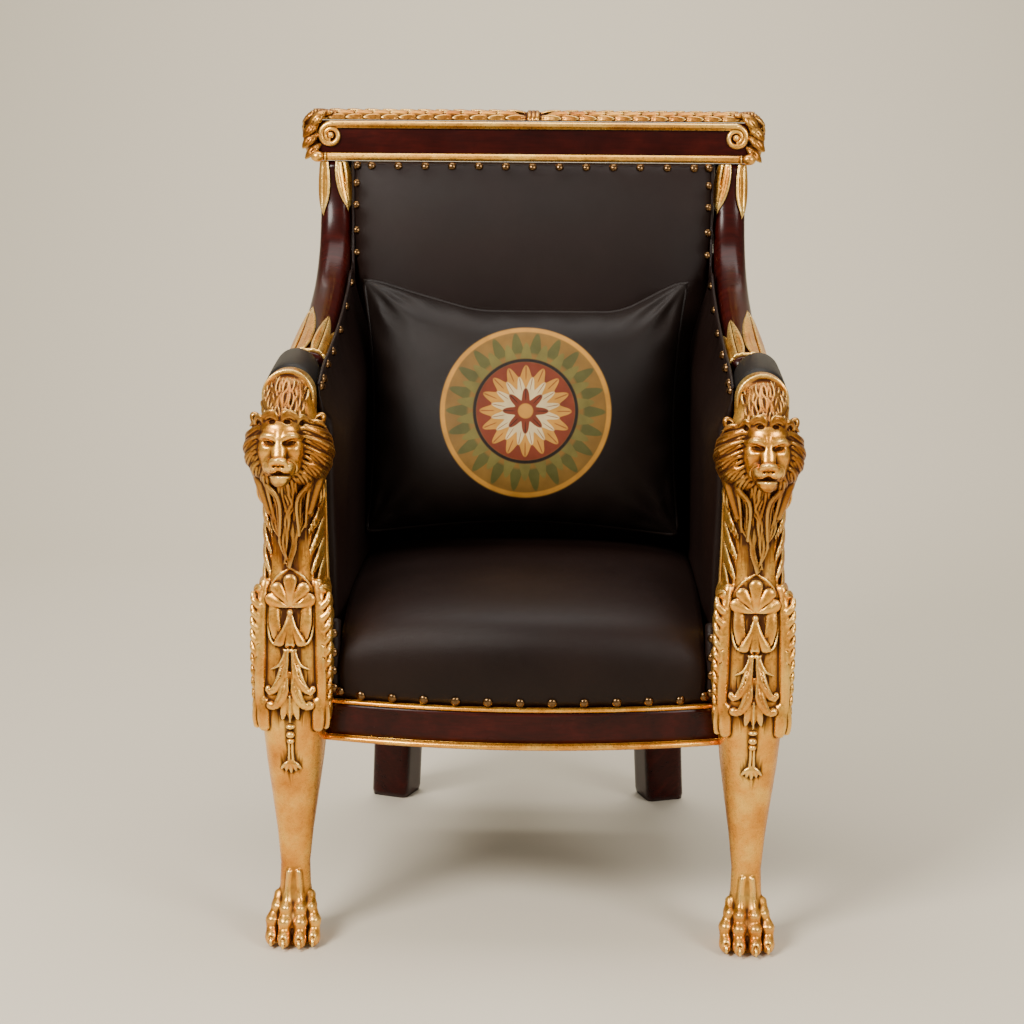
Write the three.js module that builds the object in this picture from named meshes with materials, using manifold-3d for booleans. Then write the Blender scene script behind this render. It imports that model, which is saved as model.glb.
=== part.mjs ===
// A throne armchair in the Empire manner: two gilded lion monopodia carry padded arms, which sweep
// up as mahogany posts to a tablet crest with a laurel garland. The seat, back and sides are
// upholstered, and a loose cushion leans against the back.
//
// Millimetres. +Z is up, the chair faces -Y, and its mirror plane is X = 0. Everything is drawn with
// Y = 0 at the front of the legs. The last lines move the whole chair so that the origin is at the
// middle of its footprint, on the floor.

import * as THREE from "three";
import { mergeVertices } from "three/addons/utils/BufferGeometryUtils.js";
import Module from "manifold-3d";

const wasm = await Module();
wasm.setup();

// ---------------------------------------------------------------- driving dimensions

const GAP = 0.5; // clearance between neighbouring pieces

const LION = {
  x: 300, // middle plane of each monopodium
  backTop: 90, // back of the body where the side panels meet it
  out: 6, // how far the face and the arm's round end stand outwards of that plane
  headZ: 676, // height of the eyes
  maneZ: 665, // height of the mane's middle
  archZ: 727, // centre of the round end of the arm
  archR: 34, // outside radius of the gilded arch
  archFront: 42,
  archBack: 74,
  triangles: 2300, // kept when the carving is thinned
};

const RAIL = {
  bottom: 272,
  top: 326,
  endY: 40, // front face where it meets the monopodia
  bow: 36, // how far the middle stands forward of the ends
  thick: 32,
  halfFront: 254,
  sideOut: 292, // outside face of the side rails at the front
  sideOutBack: 277, // and where the rear corner turns
  cornerY: 560,
  backY: 622,
  backHalf: 250,
};

const ARM = {
  x: 300,
  halfWidth: 34.5, // of the leather pad at its front
  padOuter: 341, // its outside edge, which runs straight back
  padRise: 37,
  padStart: 75,
  padEnd: 200,
  lap: 4, // how far the rail under the pad runs into the post
  postHalf: 24, // half the width of the mahogany post
  postDeep: 22, // and half its depth
  underFront: 690, // underside of the arm rail at the lion's back
  underEnd: 600, // where the post's rear stands clear of the side panel
};

// Middle line of the arm and post, seen from the side, as [y, z].
const SWEEP = [
  [75, 727],
  [200, 745],
  [320, 768],
  [420, 796],
  [510, 833],
  [570, 882],
  [598, 945],
  [605, 1018],
];

const CREST = {
  half: 326, // half length of the tablet
  bottom: 1020,
  top: 1081,
  front: 582,
  back: 636,
  chamfer: 5,
  mould: { high: 12, proud: 8 }, // the gilded mouldings on its face
  volute: { x: 307, z: 1058, r: 21.5, band: 5, eye: 7 },
  garlandDeep: 22, // half depth and height of the laurel garland
  garlandHigh: 16,
  leafPitch: 27,
};

const LEG = { width: 62, turn: THREE.MathUtils.degToRad(20), footX: 215, footY: 650, topX: 203, topY: 586 };
const SEAT = { halfFront: 246, half: 239, back: 526, frontTop: 424, crownHigh: 48, roundOver: 40 };
const SIDE = {
  inner: 240, // inside face of the padding
  outer: 320, // outside face of the leather under the arm
  postFace: 271.5, // beside the posts
  skin: 10,
  topOffFront: 8, // how far the top edge stands above the arm's middle line, in front
  topOff: 20, // and behind
  tuck: 25, // how far it rounds back along its top and its front
  lead: 90,
  clearArm: 3.5,
};
const CUSHION = {
  width: 480,
  height: 375,
  thick: 150,
  pinch: 0.06, // how far the sides are drawn in
  topDip: 50, // how far the top edge sinks in the middle
  footRise: 20,
  x: -8,
  lean: THREE.MathUtils.degToRad(14),
  y: 436,
  z: 664,
  foot: 0.955, // how much narrower it is along the bottom
};

// The upholstered back is nailed at edgeY and rolls forward by `roll`. Above the shoulder it is as
// wide as the posts allow.
const BACK = {
  half: 271.5,
  edgeY: 576,
  roll: 46,
  rollFrom: 700,
  shoulder: 840,
  rearTop: 606,
  skin: 10,
};

// ---------------------------------------------------------------- materials

const finish = (color, roughness, metalness = 0) =>
  new THREE.MeshStandardMaterial({ color, roughness, metalness });
const GILT = finish(0xc8924a, 0.4, 0.6);
const MAHOGANY = finish(0x45191a, 0.25);
const LEATHER = finish(0x2b2220, 0.5);
const ARM_LEATHER = finish(0x232022, 0.6);

// ---------------------------------------------------------------- helpers

const { clamp } = THREE.MathUtils;
const v3 = (x, y, z) => new THREE.Vector3(x, y, z);
const range = (n) => Array.from({ length: n }, (_, i) => i);
const mix = (a, b, t) => a + (b - a) * t;

// A closed geometry as a manifold-3d solid.
function solidOf(geometry) {
  const bare = geometry.index ? geometry.toNonIndexed() : geometry.clone();
  bare.deleteAttribute("normal");
  bare.deleteAttribute("uv");
  const merged = mergeVertices(bare, 1e-3);
  return new wasm.Manifold(
    new wasm.Mesh({
      numProp: 3,
      vertProperties: merged.attributes.position.array,
      triVerts: new Uint32Array(merged.index.array),
    }),
  );
}

function geometryOf(solid) {
  const mesh = solid.getMesh();
  return new THREE.BufferGeometry()
    .setAttribute("position", new THREE.BufferAttribute(mesh.vertProperties.slice(), 3))
    .setIndex(new THREE.BufferAttribute(mesh.triVerts.slice(), 1));
}

const joined = (geometries) =>
  geometries.map(solidOf).reduce((all, piece) => all.add(piece));

// A closed skin over rings of points. The rings run along the piece, and each is flat or nearly so.
function loft(rings) {
  const sides = rings[0].length;
  const positions = rings.flat().flatMap((p) => [p.x, p.y, p.z]);
  const first = positions.length / 3;
  const last = first + 1;
  for (const ring of [rings[0], rings.at(-1)]) {
    const middle = ring.reduce((sum, p) => sum.add(p), v3(0, 0, 0)).divideScalar(sides);
    positions.push(middle.x, middle.y, middle.z);
  }
  const index = [];
  for (let j = 0; j < sides; j++) {
    const k = (j + 1) % sides;
    for (let i = 0; i + 1 < rings.length; i++) {
      const [a, b, c, d] = [i * sides + j, i * sides + k, (i + 1) * sides + k, (i + 1) * sides + j];
      index.push(a, b, c, a, c, d);
    }
    const end = (rings.length - 1) * sides;
    index.push(first, k, j, last, end + j, end + k);
  }
  const geometry = new THREE.BufferGeometry();
  geometry.setAttribute("position", new THREE.Float32BufferAttribute(positions, 3));
  geometry.setIndex(index);
  return outward(geometry);
}

// Turns a closed geometry's faces outwards if its volume comes out negative.
function outward(geometry) {
  const p = geometry.attributes.position;
  const index = geometry.index.array;
  const [a, b, c] = [v3(), v3(), v3()];
  let volume = 0;
  for (let i = 0; i < index.length; i += 3) {
    a.fromBufferAttribute(p, index[i]);
    b.fromBufferAttribute(p, index[i + 1]);
    c.fromBufferAttribute(p, index[i + 2]);
    volume += a.dot(b.cross(c));
  }
  if (volume < 0) {
    for (let i = 0; i < index.length; i += 3) [index[i + 1], index[i + 2]] = [index[i + 2], index[i + 1]];
  }
  return geometry;
}

// A carved strand along a smooth line through points: a lock, petal, leaf lobe or stem. width(t) is
// its half width across the surface that faces `facing`, and depth is its height as a share of that.
function strand(points, width, { facing = v3(0, -1, 0), depth = 0.7, sides = 4, steps = 4 } = {}) {
  const line = new THREE.CatmullRomCurve3(points);
  return loft(
    range(steps + 1).map((i) => {
      const t = i / steps;
      const along = line.getTangent(t);
      const across = v3().crossVectors(along, facing).normalize();
      const out = v3().crossVectors(across, along).normalize();
      const w = Math.max(width(t), 0.4);
      return range(sides).map((j) => {
        const a = (2 * Math.PI * j) / sides;
        return line
          .getPoint(t)
          .addScaledVector(across, w * Math.cos(a))
          .addScaledVector(out, w * depth * Math.sin(a));
      });
    }),
  );
}

// Half widths along a strand: full at the root and pointed, or swelling in the middle.
const tapering = (w) => (t) => w * Math.sqrt(1 - t * t * 0.97);
const leafy = (w) => (t) => w * Math.sin(Math.PI * (0.12 + 0.86 * t)) ** 0.8;
const dropping = (w) => (t) => w * (0.35 + 0.65 * Math.sin(Math.PI * Math.min(1, 0.15 + 0.75 * t)));

function ball(centre, rx, ry, rz, w = 8, h = 6) {
  return new THREE.SphereGeometry(1, w, h)
    .rotateX(Math.PI / 2)
    .scale(rx, ry, rz)
    .translate(centre.x, centre.y, centre.z);
}

// A closed slab between two surfaces that share the grid u, v from 0 to 1.
function slab(nu, nv, top, bottom) {
  const count = (nu + 1) * (nv + 1);
  const at = (i, j) => i * (nv + 1) + j;
  const positions = [];
  for (const surface of [top, bottom])
    for (let i = 0; i <= nu; i++)
      for (let j = 0; j <= nv; j++) positions.push(...surface(i / nu, j / nv));
  const index = [];
  const quad = (a, b, c, d) => index.push(a, b, c, a, c, d);
  for (let i = 0; i < nu; i++)
    for (let j = 0; j < nv; j++) {
      const [a, b, c, d] = [at(i, j), at(i + 1, j), at(i + 1, j + 1), at(i, j + 1)];
      quad(a, b, c, d);
      quad(count + a, count + d, count + c, count + b);
    }
  const edge = (a, b) => quad(a, count + a, count + b, b);
  for (let i = 0; i < nu; i++) {
    edge(at(i, 0), at(i + 1, 0));
    edge(at(i + 1, nv), at(i, nv));
  }
  for (let j = 0; j < nv; j++) {
    edge(at(0, j + 1), at(0, j));
    edge(at(nu, j), at(nu, j + 1));
  }
  const geometry = new THREE.BufferGeometry();
  geometry.setAttribute("position", new THREE.Float32BufferAttribute(positions, 3));
  geometry.setIndex(index);
  return outward(geometry);
}

// A straight run of a flat outline: the outline's x, y become the axes u and v, and it runs along w.
function run(outline, from, to, toWorld) {
  const shape = new THREE.Shape(outline.map(([a, b]) => new THREE.Vector2(a, b)));
  const geometry = new THREE.ExtrudeGeometry(shape, { depth: to - from, bevelEnabled: false });
  const p = geometry.attributes.position;
  for (let i = 0; i < p.count; i++) p.setXYZ(i, ...toWorld(p.getX(i), p.getY(i), from + p.getZ(i)));
  const merged = mergeVertices(geometry.deleteAttribute("normal").deleteAttribute("uv"), 1e-3);
  return outward(merged);
}

function mesh(name, shape, material) {
  const geometry = shape.isBufferGeometry ? shape : geometryOf(shape);
  const made = new THREE.Mesh(geometry, material);
  made.name = name;
  return made;
}

// ---------------------------------------------------------------- thinning

// A vertex's quadric: the sum over its planes of area times (n, d) by (n, d), as its upper triangle.
function planeQuadric(a, b, c) {
  const n = v3().crossVectors(v3().subVectors(b, a), v3().subVectors(c, a));
  const area = n.length();
  if (area > 0) n.divideScalar(area);
  const p = [n.x, n.y, n.z, -n.dot(a)];
  return p.flatMap((value, i) => p.slice(i).map((other) => value * other * area));
}

// The summed squared distance of a point from a quadric's planes.
function quadricError(q, { x, y, z }) {
  const squares = q[0] * x * x + q[4] * y * y + q[7] * z * z + q[9];
  return squares + 2 * (q[1] * x * y + q[2] * x * z + q[5] * y * z + q[3] * x + q[6] * y + q[8] * z);
}

// A closed solid with its least telling edges collapsed until `target` triangles are left.
function thinned(solid, target) {
  const { vertProperties, triVerts, numProp } = solid.getMesh();
  const points = range(vertProperties.length / numProp).map((i) =>
    v3(...vertProperties.subarray(i * numProp, i * numProp + 3)),
  );
  const faces = range(triVerts.length / 3).map((i) => [...triVerts.subarray(3 * i, 3 * i + 3)]);
  const around = points.map(() => new Set());
  const quadrics = points.map(() => new Array(10).fill(0));
  faces.forEach((face, f) => {
    const q = planeQuadric(...face.map((v) => points[v]));
    for (const v of face) {
      around[v].add(f);
      q.forEach((value, k) => (quadrics[v][k] += value));
    }
  });
  const neighbours = (v) => new Set([...around[v]].flatMap((f) => faces[f]).filter((w) => w !== v));
  const changes = new Uint32Array(points.length);

  // The cheapest place for the vertex that an edge becomes.
  const candidate = (a, b) => {
    const q = quadrics[a].map((value, k) => value + quadrics[b][k]);
    const places = [points[a], points[b], v3().lerpVectors(points[a], points[b], 0.5)];
    const length = points[a].distanceToSquared(points[b]);
    const scored = places.map((place) => ({ place, cost: quadricError(q, place) + 1e-3 * length }));
    const best = scored.reduce((x, y) => (y.cost < x.cost ? y : x));
    return { a, b, ...best, stamp: changes[a] + changes[b] };
  };

  // A collapse keeps the skin closed and turns no face over.
  const allowed = ({ a, b, place }) => {
    const shared = [...neighbours(a)].filter((v) => neighbours(b).has(v));
    if (shared.length !== 2) return false;
    const moved = [...around[a], ...around[b]].filter((f) => !(faces[f].includes(a) && faces[f].includes(b)));
    return moved.every((f) => {
      const before = new THREE.Triangle(...faces[f].map((v) => points[v]));
      const after = new THREE.Triangle(...faces[f].map((v) => (v === a || v === b ? place : points[v])));
      return after.getArea() > 0.02 && before.getNormal(v3()).dot(after.getNormal(v3())) > 0.25;
    });
  };

  const heap = [];
  const swap = (i, j) => ([heap[i], heap[j]] = [heap[j], heap[i]]);
  const push = (item) => {
    heap.push(item);
    for (let i = heap.length - 1; i > 0; ) {
      const up = (i - 1) >> 1;
      if (heap[up].cost <= heap[i].cost) break;
      swap(i, up);
      i = up;
    }
  };
  const pop = () => {
    const top = heap[0];
    const last = heap.pop();
    if (heap.length) heap[0] = last;
    for (let i = 0; ; ) {
      const [left, right] = [2 * i + 1, 2 * i + 2];
      let least = i;
      if (left < heap.length && heap[left].cost < heap[least].cost) least = left;
      if (right < heap.length && heap[right].cost < heap[least].cost) least = right;
      if (least === i) return top;
      swap(i, least);
      i = least;
    }
  };
  points.forEach((_, a) => neighbours(a).forEach((b) => a < b && push(candidate(a, b))));

  let left = faces.length;
  while (left > target && heap.length) {
    const edge = pop();
    const { a, b, place, stamp } = edge;
    if (!around[a].size || !around[b].size || stamp !== changes[a] + changes[b] || !allowed(edge)) continue;
    for (const f of around[b]) {
      if (faces[f].includes(a)) {
        faces[f].forEach((v) => around[v].delete(f));
        faces[f] = null;
        left--;
      } else {
        faces[f] = faces[f].map((v) => (v === b ? a : v));
        around[a].add(f);
      }
    }
    around[b].clear();
    points[a] = place.clone();
    quadrics[b].forEach((value, k) => (quadrics[a][k] += value));
    changes[a] += 1 + changes[b];
    changes[b] = changes[a];
    neighbours(a).forEach((v) => push(candidate(a, v)));
  }
  return new THREE.BufferGeometry()
    .setAttribute("position", new THREE.Float32BufferAttribute(points.flatMap((p) => [p.x, p.y, p.z]), 3))
    .setIndex(faces.filter(Boolean).flat());
}

// ---------------------------------------------------------------- lion monopodium

// The plain body, from the pad of the paw up to the neck. Each row is a level on the way up:
// height, half width, front, back, how square the section is (2 is an ellipse), and, where its sides
// taper forwards, how wide its front is beside its back.
const BODY = [
  [0, 29, -16, 50, 2.6],
  [22, 28, -16, 50, 2.4],
  [48, 24, -8, 46, 2.2],
  [75, 20.5, 0, 42, 2.1],
  [105, 19.5, 4, 43, 2.1],
  [150, 24, 4, 54, 2.2],
  [200, 31, -2, 74, 2.3],
  [245, 37.5, -10, 92, 2.5],
  [290, 43, -15, 105, 3],
  [340, 45, -14, 108, 3.4],
  [400, 45, -8, 104, 3.6],
  [470, 44, 0, 98, 3.6, 0.85],
  [500, 43.5, 2, 97, 3.6, 0.7],
  [540, 43.5, 5, 95, 3.4, 0.7],
  [610, 42, 8, LION.backTop, 3, 0.75],
  [690, 36, 16, LION.backTop - 1, 2.6],
  [700, 32, 20, LION.archBack - 1, 2.6],
  [735, 22, 30, LION.archBack - 1, 2.6],
];

// The body's half width, middle, half depth and squareness at a height.
function bodyAt(z) {
  const above = BODY.findIndex((row) => row[0] >= z);
  const i = clamp(above < 0 ? BODY.length - 1 : above, 1, BODY.length - 1);
  const t = clamp((z - BODY[i - 1][0]) / (BODY[i][0] - BODY[i - 1][0]), 0, 1);
  const row = (k) => [...BODY[k], 1].slice(0, 6);
  const [, half, front, back, square, narrow] = row(i - 1).map((value, k) => mix(value, row(i)[k], t));
  return { half, middle: (front + back) / 2, deep: (back - front) / 2, square, narrow };
}

// How the body's width tapers to the front: `along` runs from -1 at the front to 1 at the back.
const taper = (narrow, along) => mix(narrow, 1, (along + 1) / 2);

// A point on the body's front, dx from the middle plane and lift mm off the wood.
function onFront(dx, z, lift = 0) {
  const { half, middle, deep, square, narrow } = bodyAt(z);
  const across = Math.min(Math.abs(dx / (half * narrow)), 0.97);
  const y = middle - deep * (1 - across ** square) ** (1 / square);
  return v3(LION.x + dx, y - lift, z);
}

// A point on the body's side: side is 1 outside and -1 inside.
function onSide(side, y, z, lift = 0) {
  const { half, middle, deep, square, narrow } = bodyAt(z);
  const along = clamp((y - middle) / deep, -0.97, 0.97);
  const dx = half * taper(narrow, along) * (1 - Math.abs(along) ** square) ** (1 / square);
  return v3(LION.x + side * (dx + lift), y, z);
}

// A point of the face: dx sideways, forward of the leg's front, and up from the eyes.
const onHead = (dx, forward, up) => v3(LION.x + LION.out + dx, -forward, LION.headZ + up);

// The same for the mane, up from its own middle.
const onMane = (dx, forward, up) => v3(LION.x + dx, -forward, LION.maneZ + up);

function body() {
  const sides = 14;
  const rings = BODY.map(([z]) => {
    const { half, middle, deep, square, narrow } = bodyAt(z);
    return range(sides).map((j) => {
      const a = (2 * Math.PI * (j + 0.5)) / sides;
      const [c, s] = [Math.cos(a), Math.sin(a)];
      const r = (Math.abs(c) ** square + Math.abs(s) ** square) ** (-1 / square);
      return v3(LION.x + half * taper(narrow, r * s) * r * c, middle + deep * r * s, z);
    });
  });
  return loft(rings);
}

// Four toes, each with a knuckle above a rounded tip. The outer two stand further back.
function paw() {
  return [-28, -10.5, 10.5, 28].flatMap((dx) => {
    const back = Math.abs(dx) > 20 ? 9 : 0;
    const x = LION.x + dx;
    return [
      strand(
        [v3(x * 0.3 + LION.x * 0.7, 14 + back, 50), v3(x, -10 + back, 34), v3(x, -24 + back, 9)],
        (t) => 8 + 1.5 * Math.sin(Math.PI * t),
        { sides: 6, steps: 4, depth: 1 },
      ),
      ball(v3(x, -24 + back, 11.5), 9, 14, 11.4, 8, 6),
    ];
  });
}

// The palmette, bell, shields, drapery leaves, lower bell and drop that hang down the front.
function frontOrnament() {
  const relief = { depth: 0.55, steps: 3 };
  const shellFoot = 456;
  const shell = [-68, -35, 0, 35, 68].map((degrees) => {
    const a = THREE.MathUtils.degToRad(degrees);
    const reach = 34 - 9 * Math.abs(Math.sin(a));
    const tip = [reach * Math.sin(a), shellFoot + reach * Math.cos(a)];
    return strand(
      [onFront(0, shellFoot, 1), onFront(tip[0] * 0.55, mix(shellFoot, tip[1], 0.55), 4), onFront(...tip, 1)],
      (t) => 1.5 + 7.5 * t,
      relief,
    );
  });
  const bell = [-1, 0, 1].map((s) =>
    strand([onFront(0, 452, 3), onFront(s * 5, 430, 6), onFront(s * 15, 408, 1)], dropping(6), relief),
  );
  const mirrored = (points, width) =>
    [-1, 1].map((s) => strand(points.map(([dx, z, lift]) => onFront(s * dx, z, lift)), width, relief));
  const shields = mirrored([[20, 456, 0], [21, 435, 2], [17, 416, 0]], dropping(9));
  const leaves = [
    ...mirrored([[5, 404, 1], [13, 388, 3], [24, 380, 2]], tapering(5)),
    ...mirrored([[4, 402, 2], [12, 368, 4], [28, 345, 2]], leafy(7)),
    ...mirrored([[3, 380, 2], [10, 345, 4], [24, 325, 2]], leafy(8)),
    ...mirrored([[2.5, 402, 3], [3.5, 375, 5], [2.5, 345, 3]], leafy(4)),
  ];
  const lowerBell = [-1, 0, 1].map((s) =>
    strand([onFront(s * 2, 345, 2), onFront(s * 8, 322, 4), onFront(s * 7, 304, 0)], leafy(5.5), relief),
  );
  const drop = [
    ball(onFront(0, 286, 0), 5.5, 4.5, 7, 6, 5),
    strand([onFront(0, 282, 0), onFront(0, 266, 0.5), onFront(0, 250, 0)], () => 3, relief),
    ...[-1, 0, 1].map((s) =>
      strand([onFront(0, 252, 0), onFront(s * 6, 244, 2), onFront(s * 11, 236, 0)], leafy(3.5), relief),
    ),
  ];
  return [...shell, ...bell, ...shields, ...leaves, ...lowerBell, ...drop];
}

// An acanthus leaf on each side of the thigh: a smooth band down the front corner, and its lobes.
function sideLeaves() {
  const lobes = 7;
  const bands = [-1, 1].map((side) => {
    const line = [[36, 10, 480], [40, 3, 430], [42, -2, 360], [41, -3, 300]];
    const places = line.map(([dx, y, z]) => v3(LION.x + side * dx, y, z));
    return strand(places, (t) => 7 + 2.5 * Math.sqrt(t), { steps: 4 });
  });
  const leaves = [-1, 1].flatMap((side) =>
    range(lobes).flatMap((i) => {
      const z = 465 - i * 25;
      const swell = 5 * Math.sin((Math.PI * (i + 1.5)) / (lobes + 1));
      const facing = v3(side, 0, 0);
      const points = (end) => [
        onSide(side, 46, z + 14, 1),
        onSide(side, mix(46, end, 0.6), z + 2, 4 + swell),
        onSide(side, end, z - 18, 2 + swell * 0.7),
      ];
      return [
        strand(points(bodyAt(z).middle - bodyAt(z).deep + 7), leafy(11), { facing, depth: 0.45, steps: 3 }),
        strand(points(86), leafy(11), { facing, depth: 0.4, steps: 3 }),
      ];
    }),
  );
  return [...bands, ...leaves];
}

function face() {
  const pair = (dx, ...rest) => [-1, 1].map((s) => ball(onHead(s * dx, rest[0], rest[1]), ...rest.slice(2)));
  const bridge = strand(
    [onHead(0, 34, 18), onHead(0, 47, 4), onHead(0, 57, -20)],
    (t) => 8.5 - 1.5 * Math.sin(Math.PI * t),
    { depth: 0.9, sides: 6 },
  );
  return [
    ball(onHead(-2, 8, -6), 34, 42, 42, 10, 8), // skull
    ball(onHead(0, 28, 15), 24, 16, 14), // forehead
    ...pair(13, 38, 12, 11, 7, 5, 6, 4), // brows
    ...pair(17, 26, -14, 13, 17, 18, 6, 5), // cheeks
    ...pair(8, 45, -27, 11, 13, 8.5, 6, 5), // muzzle
    bridge,
    ball(onHead(0, 57, -21), 9, 6, 5, 6, 4), // nose
    ball(onHead(0, 34, -44), 11, 20, 11, 6, 5), // chin
    ...[-1, 1].map((s) => ball(onMane(s * 45, -2, 40), 9, 7, 12, 6, 5)), // ears
  ];
}

// Locks that sweep out and down from the edge of the face.
function mane() {
  const perSide = 8;
  const locks = [-1, 1].flatMap((side) =>
    range(perSide).map((i) => {
      const a = mix(0.24, 0.8, i / (perSide - 1)) * Math.PI; // from the forehead round to the jaw
      const ring = (r, up) => [side * r * Math.sin(a), up * Math.cos(a)];
      const [x0, z0] = ring(29, 40);
      const [x1, z1] = ring(47, 50);
      const [x2, z2] = ring(58, 50);
      return strand(
        [
          onMane(x0, 24, z0),
          onMane(x1, 17, z1 - 2),
          onMane(x2, -6, z2 - 12),
          onMane(x2 * 0.98, -26, z2 - 30),
        ],
        leafy(12),
        { depth: 0.7 },
      );
    }),
  );
  return [ball(onMane(0, -22, -2), 54, 44, 54, 12, 8), ...locks];
}

// Wavy locks down the chest, the middle one longest.
function chestLocks() {
  const count = 9;
  return range(count).map((i) => {
    const s = (2 * i) / (count - 1) - 1;
    const top = 628 - 6 * Math.abs(s);
    const tip = mix(505, 562, Math.abs(s) ** 0.8);
    const sway = i % 2 ? 5 : -5;
    return strand(
      [
        onFront(s * 36, top, 20 - 12 * Math.abs(s)),
        onFront(s * 35 + sway, mix(top, tip, 0.4), 12 - 4 * Math.abs(s)),
        onFront(s * 28 - sway * 0.6, mix(top, tip, 0.75), 7),
        onFront(s * 24, tip, 1),
      ],
      leafy(8.5),
      { depth: 0.8 },
    );
  });
}

// The tuft of mane that rises from the forehead into the arch.
function tuft() {
  const count = 7;
  const core = strand([onHead(0, 10, 19), onHead(0, 0, 39), onHead(0, -26, 67)], (t) => 34 - 4 * t, {
    depth: 0.5,
    sides: 8,
    steps: 3,
  });
  const locks = range(count).map((i) => {
    const s = (2 * i) / (count - 1) - 1;
    return strand(
      [onHead(s * 24, 26, 23), onHead(s * 25, 15, 41), onHead(s * 27, -14, 72 - 18 * s * s)],
      leafy(6),
      { depth: 0.8, steps: 3 },
    );
  });
  return [core, ...locks];
}

// Outline of the arm's round end: a half circle on a short straight shank.
function archOutline(r, foot = 692, segments = 10) {
  const centre = LION.x + LION.out;
  const arc = range(segments + 1).map((i) => {
    const a = (Math.PI * i) / segments;
    return [centre + r * Math.cos(a), LION.archZ + r * Math.sin(a)];
  });
  return [...arc, [centre - r, foot], [centre + r, foot]];
}

function arch() {
  const facingFront = (x, z, y) => [x, y, z];
  const rim = solidOf(run(archOutline(LION.archR), LION.archFront, LION.archBack, facingFront));
  const recess = run(archOutline(LION.archR - 6, 680), LION.archFront - 9, LION.archBack - 14, facingFront);
  return rim.subtract(solidOf(recess));
}

// The whole monopodium, trimmed flat under the paw, before its least telling edges are taken out.
const carvedLion = joined([
  body(),
  ...paw(),
  ...frontOrnament(),
  ...sideLeaves(),
  ...mane(),
  ...face(),
  ...chestLocks(),
  ...tuft(),
])
  .add(arch())
  .subtract(solidOf(new THREE.BoxGeometry(300, 400, 100).translate(LION.x, 50, -50)));
const monopodium = thinned(carvedLion, LION.triangles);

// The monopodium grown by the clearance, which cuts whatever is fitted against it.
const lionCutter = [[GAP, 0, 0], [-GAP, 0, 0], [0, GAP, 0], [0, -GAP, 0], [0, 0, GAP]]
  .map((shift) => solidOf(monopodium.clone().translate(...shift)))
  .reduce((all, piece) => all.add(piece));

// The back of the monopodium at a height, where the side panels begin.
const lionBack = (z) => bodyAt(z).middle + bodyAt(z).deep;

// ---------------------------------------------------------------- arms and posts

const sweepLine = new THREE.CatmullRomCurve3(SWEEP.map(([y, z]) => v3(ARM.x, y, z)));
const sweepSteps = 240;
const sweepSamples = range(sweepSteps + 1).map((i) => i / sweepSteps);

// A point beside the sweep's middle line: `off` towards its upper front side, dx sideways.
function besideSweep(t, off, dx = 0) {
  const along = sweepLine.getTangentAt(t);
  return sweepLine.getPointAt(t).add(v3(dx, -along.z * off, along.y * off));
}

// The height of the line that runs beside the sweep at `off`, at a given y.
function sweepHeight(off, y) {
  const points = sweepSamples.map((t) => besideSweep(t, off));
  const i = clamp(points.findIndex((p) => p.y >= y), 1, points.length - 1);
  const t = clamp((y - points[i - 1].y) / (points[i].y - points[i - 1].y), 0, 1);
  return mix(points[i - 1].z, points[i].z, t);
}

// How far along the sweep, from 0 to 1, a given y comes.
const sweepAt = (y) => sweepSamples.find((t) => sweepLine.getPointAt(t).y >= y);

const squared = (angle, power) => {
  const [c, s] = [Math.cos(angle), Math.sin(angle)];
  const r = (Math.abs(c) ** power + Math.abs(s) ** power) ** (-1 / power);
  return [r * c, r * s];
};

// The mahogany post from the end of the arm pad up to the crest, `grow` mm fatter all round.
function postSkin(grow = 0) {
  const [sides, steps] = [10, 12];
  const start = sweepAt(ARM.padEnd + GAP);
  const rings = range(steps + 1).map((i) =>
    range(sides).map((j) => {
      const [c, s] = squared((2 * Math.PI * (j + 0.5)) / sides, 3);
      const t = mix(start, 1, i / steps);
      return besideSweep(t, (ARM.postDeep + grow) * s, (ARM.postHalf + grow) * c);
    }),
  );
  for (const p of rings.at(-1)) p.z = CREST.bottom - GAP;
  return loft(rings);
}

// The height of the underside of the arm and post at a given y.
function armUnder(y) {
  if (y > ARM.padEnd) return sweepHeight(-ARM.postDeep, Math.min(y, ARM.underEnd));
  const [front, back] = [LION.backTop + 1, ARM.padEnd];
  return mix(ARM.underFront, sweepHeight(-ARM.postDeep, back), clamp((y - front) / (back - front), 0, 1));
}

// The arm rail under the pad, which grows into the post behind it.
function armPost() {
  const stations = range(5).map((i) => mix(ARM.padStart, ARM.padEnd + ARM.lap, i / 4));
  const upper = stations.map((y) => [y, sweepHeight(0, y) - GAP]);
  const lower = stations.slice(1).map((y) => [y, armUnder(Math.min(y, ARM.padEnd))]);
  const outline = [...upper, ...lower.reverse(), [ARM.padStart, ARM.underFront + 14]];
  const [left, right] = [ARM.x - ARM.postHalf, ARM.x + ARM.postHalf];
  const rail = run(outline, left, right, (y, z, x) => [x, y, z]);
  return joined([postSkin(), rail]).subtract(lionCutter);
}

// The half-round leather pad on the front of the arm, which narrows and rounds off at its back.
function armPad() {
  const sides = 9;
  const fullness = [0.96, 1, 1, 0.98, 0.94, 0.88, 0.75];
  const steps = fullness.length - 1;
  const pad = loft(
    range(steps + 1).map((i) => {
      const y = mix(ARM.padStart, ARM.padEnd, i / steps);
      const r = ARM.halfWidth * fullness[i];
      return range(sides + 1).map((j) => {
        const a = (Math.PI * j) / sides;
        const rise = (r * ARM.padRise) / ARM.halfWidth;
        return v3(ARM.padOuter - r + r * Math.cos(a), y, sweepHeight(0, y) + GAP + rise * Math.sin(a));
      });
    }),
  );
  return solidOf(pad).subtract(solidOf(postSkin(GAP)));
}

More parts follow.
